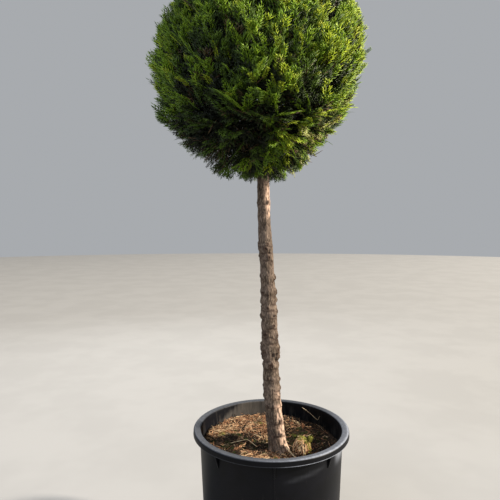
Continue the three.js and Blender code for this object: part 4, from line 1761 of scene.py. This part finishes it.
@dataclass
class PottingMix:
    """The potting mix: a crumbly heap strewn with shredded bark, dead needles, straw and moss."""

    pot: NurseryPot
    stem: Stem
    clod_at: Span = (76.0, -64.0)
    ground_z: float = 302.0
    mound: float = 14.0
    heap_bearing: float = 2.3
    ripple: float = 3.0
    ripple_span: float = 20.0
    flat_at_stem: float = 62.0
    flat_at_clod: float = 50.0
    slope_span: float = 60.0
    # The size of the crumbs, where in the noise they are read, and their height.
    crumbs: tuple[Triple, ...] = ((24.0, 2.2, 4.5), (8.0, 8.1, 2.4), (3.5, 4.4, 1.1))
    wall_gap: float = 0.6
    edge_drop: float = 3.0
    side_loop_z: float = 60.0
    sides: int = 144
    rings: int = 60
    shred_count: int = 1500
    shred_length: Span = (4.0, 14.0)
    shred_slimness: Span = (0.14, 0.4)
    fibre_count: int = 4600
    fibre_length: Span = (9.0, 34.0)
    fibre_radius: Span = (0.3, 0.7)
    fallen_count: int = 170
    fallen_length: Span = (14.0, 30.0)
    cushion_count: int = 80
    # More moss grows in the open ground right of the stem.
    open_count: int = 30
    open_ground: Span = (76.0, 28.0)
    open_spread: float = 24.0
    cushion_blades: tuple[int, int] = (30, 85)
    cushion_spread: Span = (5.0, 13.0)
    cushion_height: float = 3.5
    moss_reach: float = 172.0
    blade_length: Span = (2.5, 6.0)
    blade_radii: tuple[float, ...] = (0.75, 0.5, 0.1)

    def __post_init__(self) -> None:
        """Opens a heap for each colour of litter, and seeds what is strewn."""
        self.draw = np.random.default_rng(SEED + 1)
        self.litter = {colour: Heap() for colour in Litter}

    def mound_at(self, x: Array, y: Array) -> Array:
        """Gives the height of the mix above its level, as the source does."""
        from_stem = np.hypot(x - self.stem.xs[0], y - self.stem.ys[0]) - self.flat_at_stem
        from_clod = np.hypot(x - self.clod_at[0], y - self.clod_at[1]) - self.flat_at_clod
        rise = smoothstep(np.minimum(from_stem, from_clod), 0, self.slope_span)
        heap = self.mound * (1 + np.cos(np.arctan2(y, x) - self.heap_bearing)) / 2
        ripple = self.ripple * (1 + np.sin(x / self.ripple_span) * np.cos(y / self.ripple_span))
        return rise * (heap + ripple)

    def surface_z(self, x: Array, y: Array) -> Array:
        """Gives the height of the crumbly surface."""
        flat = np.column_stack([x, y, np.zeros(len(x))])
        crumbs = sum(height * cloud(flat, (size, size, size), place) for size, place, height in self.crumbs)
        return self.ground_z + self.mound_at(x, y) + crumbs

    def on_surface(self, spots: Array, lift: Field) -> Array:
        """Sets places on the surface, lifted a little."""
        return np.column_stack([spots, self.surface_z(*spots.T) + lift])

    def bed(self) -> Piece:
        """Turns the body of the mix inside the pot, and heaps and crumbles its top."""
        inside = self.pot.wall + self.wall_gap
        floor = self.pot.wall + self.pot.base_recess + self.wall_gap
        chamfer = self.pot.base_chamfer
        edge = self.pot.wall_radius(self.ground_z) - inside
        profile = [
            (self.pot.wall_radius(floor) - inside - chamfer, floor),
            (self.pot.wall_radius(floor + chamfer) - inside, floor + chamfer),
            (self.pot.wall_radius(self.side_loop_z) - inside, self.side_loop_z),
            *((edge * (1 - ring / (self.rings + 1)), self.ground_z) for ring in range(self.rings + 1)),
        ]
        bed = turned("potting_mix", profile, self.sides)
        points = points_of(bed)
        top = points[:, 2] > self.ground_z - 1
        x, y = points[top, 0], points[top, 1]
        points[top, 2] = self.surface_z(x, y)
        rim = np.isclose(np.hypot(x, y), edge, atol=0.5)
        points[np.flatnonzero(top)[rim], 2] -= self.edge_drop
        place_points(bed, points)
        smooth(bed, 80)
        coat(bed, MIX)
        return bed

    def limit(self, edge: float) -> float:
        """Gives the mix's radius inside the wall, less an edge that stays free."""
        return self.pot.wall_radius(self.ground_z) - self.pot.wall - edge

    def spots(self, count: int, edge: float) -> Array:
        """Strews places evenly over the mix, clear of the wall and the stem.

        Args:
            count: How many to try.
            edge: How far from the wall they stay.

        Returns:
            X and Y of each place, one a row.
        """
        radius = self.limit(edge) * np.sqrt(self.draw.random(count))
        bearing = self.draw.uniform(0, 2 * math.pi, count)
        found = np.column_stack([radius * np.cos(bearing), radius * np.sin(bearing)])
        gap = np.hypot(found[:, 0] - self.stem.xs[0], found[:, 1] - self.stem.ys[0])
        return found[gap > self.stem.foot_radius + 4]

    @staticmethod
    def dry_and_sunlit(spots: Array) -> Array:
        """Says how dry the litter is at each place, and how much sunlight is painted on it.

        Args:
            spots: X and Y of each place, one a row.

        Returns:
            Values from 0 to 1: high behind at the left and in a strip before the stem, where dry litter
            lies in painted sunlight; low in the damp humus between them, which lies in painted shade.
        """
        x, y = spots.T
        edge = np.interp(x, (-160, -80, 20, 40, 100), (6, 36, 34, 66, 72)) + 7 * np.sin(x / 11)
        behind = smoothstep(y - edge, -6, 7) * (1 - 0.6 * smoothstep(x, 18, 44)) * smoothstep(x, 112, 88)
        before = smoothstep(y, -34, -46) * smoothstep(np.abs(x + 8), 76, 54)
        return np.clip(np.maximum(behind, before), 0, 1)

    def dealt(self, dry: Array) -> dict[Litter, Array]:
        """Deals each bit of litter its colour.

        Args:
            dry: How dry the place of each bit is, and how much sunlight is painted on it, from 0 to 1.

        Returns:
            For each colour, which bits have it.
        """
        pick = self.draw.random(len(dry))
        bright = np.searchsorted(BRIGHT_LITTER, pick, side="right")
        dull = np.searchsorted(DULL_LITTER, pick, side="right")
        number = np.where(self.draw.random(len(dry)) < dry, bright, dull)
        return {colour: number == i for i, colour in enumerate(Litter)}

    def shreds(self) -> None:
        """Strews torn bark: flat splinters with pointed ends, lying any way."""
        draw = self.draw
        spots = self.spots(self.shred_count, 9)
        count = len(spots)
        length = draw.uniform(*self.shred_length, count) * draw.uniform(0.6, 1.2, count)
        width = length * draw.uniform(*self.shred_slimness, count)
        turn = draw.uniform(0, 2 * math.pi, count)
        tilt = draw.normal(0, 0.28, count)
        along = np.column_stack([np.cos(turn) * np.cos(tilt), np.sin(turn) * np.cos(tilt), np.sin(tilt)])
        across = unit(np.column_stack([-np.sin(turn), np.cos(turn), draw.normal(0, 0.35, count)]))
        normal = np.cross(along, across)
        base = self.on_surface(spots, draw.uniform(0.2, 3.4, count))
        # The two ends, then two loops of four corners round the belly, as shares of length and width.
        share = np.array([-0.5, 0.5, -0.24, -0.2, -0.26, -0.22, 0.22, 0.26, 0.2, 0.24])
        sides = np.array([0, 0, 0.5, 0.5, -0.5, -0.5, 0.42, 0.46, -0.4, -0.45])
        thick = np.array([0, 0, 0.14, -0.14, -0.14, 0.14, 0.12, -0.12, -0.12, 0.12])
        loop = [(2, 3), (3, 4), (4, 5), (5, 2)]
        faces = [(0, b, a) for a, b in loop]
        faces += [f for a, b in loop for f in ((a, b, b + 4), (a, b + 4, a + 4))]
        faces += [(1, a + 4, b + 4) for a, b in loop]
        jitter = draw.uniform(0.75, 1.25, (count, len(share)))
        points = base[:, None]
        for shape, size, way in ((share, length, along), (sides, width, across), (thick, width, normal)):
            points = points + (shape * size[:, None] * jitter)[..., None] * way[:, None]
        for colour, chosen in self.dealt(self.dry_and_sunlit(spots)).items():
            self.litter[colour].add(points[chosen], repeated(faces, len(share), int(chosen.sum())))

    def fibres(self) -> None:
        """Strews dead needles and fibres: thin, a little bent, some standing up at one end."""
        draw = self.draw
        spots = self.spots(self.fibre_count, 12)
        count = len(spots)
        length = draw.uniform(*self.fibre_length, count)
        turn = draw.uniform(0, 2 * math.pi, count)
        half = np.column_stack([np.cos(turn), np.sin(turn)]) * length[:, None] / 2
        start, end = (drawn_in(spots + side, self.limit(3)) for side in (-half, half))
        lift = draw.uniform(0.5, 3.5, (2, count)) + np.array([np.zeros(count), draw.exponential(2.2, count)])
        first, last = self.on_surface(start, lift[0]), self.on_surface(end, lift[1])
        bend = (first + last) / 2 + draw.normal(0, 1, (count, 3)) * [2.5, 2.5, 1.2] + [0, 0, 1.5]
        radii = draw.uniform(*self.fibre_radius, count)[:, None] * np.array([0.5, 1, 0.9, 0.3])
        for colour, chosen in self.dealt(self.dry_and_sunlit(spots)).items():
            self.litter[colour].add_stalks(first[chosen], bend[chosen], last[chosen], radii[chosen], 3)

    def fallen_sprays(self, pattern: SprayPattern) -> None:
        """Lays dead sprays of scale leaves on the mix, after a pattern."""
        draw = self.draw
        spots = self.spots(self.fallen_count, 26)
        for colour, chosen in self.dealt(np.maximum(self.dry_and_sunlit(spots), 0.35)).items():
            sprays = Sprays()
            for spot in spots[chosen]:
                turn = draw.uniform(0, 2 * math.pi)
                way = Vector((math.cos(turn), math.sin(turn), draw.uniform(-0.05, 0.3))).normalized()
                side = Vector((-math.sin(turn), math.cos(turn), draw.uniform(-0.3, 0.3))).normalized()
                root = Vector(self.on_surface(spot[None], 2.5)[0])
                sprays.add(root, way, side, (draw.uniform(*self.fallen_length), 1.0, 0.2, 0.1))
            if sprays.held:
                self.litter[colour].add(*sprays.mesh_arrays(pattern))

    def straws(self) -> None:
        """Lays the few long straws and roots that stand out."""
        for thickness, route in STRAWS:
            corners = np.array(route, float) + [0, 0, self.ground_z]
            corners[:, :2] = drawn_in(corners[:, :2], self.limit(3))
            t = np.linspace(0, len(corners) - 1, 16)
            path = np.column_stack([np.interp(t, range(len(corners)), corners[:, axis]) for axis in range(3)])
            path[1:-1] = (path[:-2] + 2 * path[1:-1] + path[2:]) / 4
            self.litter[Litter.STRAW].add(*tubes(path[None], thickness * np.linspace(1, 0.5, 16)[None], 6))

    def moss(self) -> dict[MossTone, Heap]:
        """Grows moss in soft cushions: short blades that stand up and outwards."""
        draw = self.draw
        heaps = {tone: Heap() for tone in MossTone}
        strewn = self.spots(self.cushion_count, 22)
        grouped = draw.normal(self.open_ground, self.open_spread, (self.open_count, 2))
        for number, middle in enumerate(np.concatenate([strewn, grouped])):
            # How dry the ground is, and how much sunlight is painted on it.
            dry = float(self.dry_and_sunlit(middle[None])[0])
            in_open = number >= len(strewn)
            if draw.random() < 0.65 * dry and not in_open:
                continue
            count = int(draw.integers(*self.cushion_blades))
            spread = draw.uniform(*self.cushion_spread)
            offset = draw.normal(0, 0.5, (count, 2)) * spread
            spots = drawn_in(middle + offset, self.moss_reach)
            dome = self.cushion_height * np.exp(-(offset ** 2).sum(axis=1) / spread ** 2)
            start = self.on_surface(spots, dome - 1)
            lean = np.column_stack([offset / spread + draw.normal(0, 0.4, (count, 2)), np.full(count, 1.3)])
            end = start + unit(lean) * draw.uniform(*self.blade_length, count)[:, None]
            # Yellow moss is dealt more where sunlight is painted on the mix and in the open ground.
            tone = MossTone.YELLOW if draw.random() < 0.1 + 0.3 * dry + 0.25 * in_open else MossTone.DARK
            heaps[tone].add_stalks(start, (start + end) / 2, end, self.blade_radii, 3)
        return heaps

    def build(self, pattern: SprayPattern) -> None:
        """Makes the bed and what lies on it, with fallen sprays after a pattern."""
        ride_as(self.bed(), "potting_mix", "soil")
        self.shreds()
        self.fibres()
        self.fallen_sprays(pattern)
        self.straws()
        ride_by_tone(self.litter, "litter", "potting_mix")
        ride_by_tone(self.moss(), "moss_cushions", "moss")


@dataclass
class MossClod:
    """The clod at the front right: a root-bound lump, with moss on its right shoulder."""

    low: Vector
    high: Vector
    # The lump's share of the CAD clod's box, and how far its middle lies from the box's.
    fill: Triple = (0.74, 0.8, 0.86)
    shift: Triple = (-3.0, 0.0, -2.0)
    stalk_count: int = 150
    stalk_radius: Span = (0.4, 1.1)
    stalk_shape: tuple[float, ...] = (0.4, 0.8, 1.0, 1.0, 0.8, 0.3)
    blade_count: int = 900
    blade_length: Span = (2.5, 6.0)
    blade_radii: tuple[float, ...] = (0.8, 0.6, 0.12)
    # The tall tuft: how far in from the box's right, front and top, its blades and their length.
    tuft_inset: Triple = (9.0, 20.0, 8.0)
    tuft_count: int = 75
    tuft_length: Span = (5.0, 9.0)

    def __post_init__(self) -> None:
        """Seeds what grows on the clod."""
        self.draw = np.random.default_rng(SEED + 2)

    @classmethod
    def from_frame(cls) -> "MossClod":
        """Takes the clod's box from its CAD node."""
        low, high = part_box("moss_clod")
        return cls(Vector(low) / MM, Vector(high) / MM)

    def shape(self, directions: Array) -> Array:
        """Gives the lump's surface in each direction from its middle.

        Args:
            directions: Unit vectors, one a row.

        Returns:
            Points in millimetres.
        """
        half = np.array((self.high - self.low) / 2) * self.fill
        middle = np.array((self.low + self.high) / 2) + self.shift
        coarse, fine = cloud(directions, (0.5, 0.5, 0.5), 6.0), cloud(directions, (0.2, 0.2, 0.2), 2.0)
        lump = 1 + 0.16 * coarse + 0.08 * fine
        points = middle + directions * half * lump[:, None]
        points[:, 2] = np.maximum(points[:, 2], self.low.z - 1)
        return points

    def build(self) -> None:
        """Makes the lump, the dry stalks wound over it and its moss."""
        lump = started(
            "moss_clod_root_ball", bpy.ops.mesh.primitive_ico_sphere_add, subdivisions=5, radius=1)
        place_points(lump, self.shape(unit(points_of(lump))))
        smooth(lump, 80)
        coat(lump, MIX)
        ride_as(lump, "moss", "moss_clod")
        self.wind_stalks()
        self.grow_moss()

    def wind_stalks(self) -> None:
        """Winds flat dry stalks and roots over the lump, most of them from low left to high right."""
        draw = self.draw
        middles = unit(draw.normal(0, 1, (self.stalk_count, 3)) + [0, -0.5, 0.5])
        slant = unit(np.array([0.55, -0.1, 0.8]) + draw.normal(0, 0.35, (self.stalk_count, 3)))
        heaps = {colour: Heap() for colour in (Litter.RUST, Litter.TAN, Litter.STRAW)}
        steps = np.linspace(-1, 1, len(self.stalk_shape))[:, None]
        for number, (middle, way) in enumerate(zip(middles, slant)):
            bearings = unit(middle + steps * way * draw.uniform(0.35, 0.8))
            path = self.shape(bearings) + bearings * (0.6 + 1.6 * (1 - steps ** 2) * draw.random())
            radii = draw.uniform(*self.stalk_radius) * np.array(self.stalk_shape)
            colour = (Litter.TAN, Litter.STRAW, Litter.RUST, Litter.TAN)[number % 4]
            heaps[colour].add(*tubes(path[None], radii[None], 4))
        ride_by_tone(heaps, "moss_clod_stalks", "moss")

    def grow_moss(self) -> None:
        """Grows moss over the right shoulder, with one taller tuft that stands up."""
        draw = self.draw
        way = unit(draw.normal(0, 0.55, (self.blade_count, 3)) + [0.62, -0.1, 0.75])
        start = self.shape(way) - way
        lean = unit(way + draw.normal(0, 0.4, way.shape) + [0, 0, 0.5])
        length = draw.uniform(*self.blade_length, self.blade_count)
        right, front, top = self.tuft_inset
        tuft = np.array([self.high.x - right, self.low.y + front, self.high.z - top])
        grown = self.tuft_count
        start[:grown] = tuft + draw.normal(0, 2.0, (grown, 3))
        lean[:grown] = unit(draw.normal(0, 0.4, (grown, 3)) + [0.35, 0, 1.2])
        length[:grown] = draw.uniform(*self.tuft_length, grown)
        end = start + lean * length[:, None]
        heap = Heap()
        heap.add_stalks(start, (start + end) / 2, end, self.blade_radii, 3)
        ride_as(heap.piece("moss_clod_tufts", MossTone.YELLOW.finish()), "moss")


# The studio


@dataclass
class Lamp:
    """One soft box: where it stands and how large, strong and warm it is."""

    name: str
    place: Triple
    size: float
    watts: float
    colour: str


@dataclass
class Studio:
    """A plain pale floor, soft boxes and the photo's level camera; lengths here are in metres."""

    eye: Triple = (-0.0545, -1.288, 0.875)
    lens: float = 35.7
    sensor: float = 36.0
    shift: float = -0.05
    aim: Triple = (0.0, 0.0, 0.85)
    floor_radius: float = 14.0
    sky: str = "#e9edf2"
    sky_strength: float = 0.48
    lamps: tuple[Lamp, ...] = (
        # The key stands so far off that it lights plant and floor alike.
        Lamp("key", (35.6, -5.0, 18.3), 3.0, 44000.0, "#fff3e2"),
        Lamp("fill", (-2.2, -2.3, 3.0), 1.5, 61.0, "#e4ecfb"),
        Lamp("rim", (-0.8, 2.6, 2.2), 1.6, 30.0, "#ffffff"),
    )

    def camera(self) -> None:
        """Sets the level camera; its small shift keeps the stem's uprights parallel."""
        bpy.ops.object.camera_add(location=self.eye, rotation=(math.pi / 2, 0, 0))
        camera = bpy.context.object
        camera.data.lens = self.lens
        camera.data.sensor_width = self.sensor
        camera.data.shift_y = self.shift
        bpy.context.scene.camera = camera

    def floor(self) -> None:
        """Lays the paper floor, which isn't part of the plant."""
        floor = started(
            "studio_floor", bpy.ops.mesh.primitive_circle_add,
            vertices=96, radius=self.floor_radius, fill_type="NGON")
        coat(floor, PAPER)

    def light(self) -> None:
        """Hangs the soft boxes, aimed at the plant, under a pale sky."""
        for lamp in self.lamps:
            aim = (Vector(self.aim) - Vector(lamp.place)).to_track_quat("-Z", "Y")
            bpy.ops.object.light_add(type="AREA", location=lamp.place, rotation=aim.to_euler())
            light = bpy.context.object
            light.name = lamp.name
            light.data.size = lamp.size
            light.data.energy = lamp.watts
            light.data.color = linear(lamp.colour)[:3]
        world = bpy.data.worlds.new("soft_sky")
        bpy.context.scene.world = world
        world.use_nodes = True
        backdrop = world.node_tree.nodes["Background"]
        backdrop.inputs["Color"].default_value = linear(self.sky)
        backdrop.inputs["Strength"].default_value = self.sky_strength

    def build(self) -> None:
        """Sets up the studio."""
        clear_selection()
        # The standard view keeps the leaf greens as rich as they are in daylight.
        bpy.context.scene.view_settings.view_transform = "Standard"
        self.camera()
        self.floor()
        self.light()


def main() -> None:
    """Builds the plant and its pot in order; each piece's face count is logged as it is made."""
    logging.basicConfig(level=logging.INFO, format="%(name)s: %(message)s")
    Studio().build()
    pot = NurseryPot.from_frame()
    pot.build()
    stem = Stem.from_frame()
    stem.build()
    clod = MossClod.from_frame()
    ball = ClippedBall(stem)
    ball.build()
    PottingMix(pot, stem).build(ball.plain[0])
    clod.build()


if __name__ == "__main__":
    main()
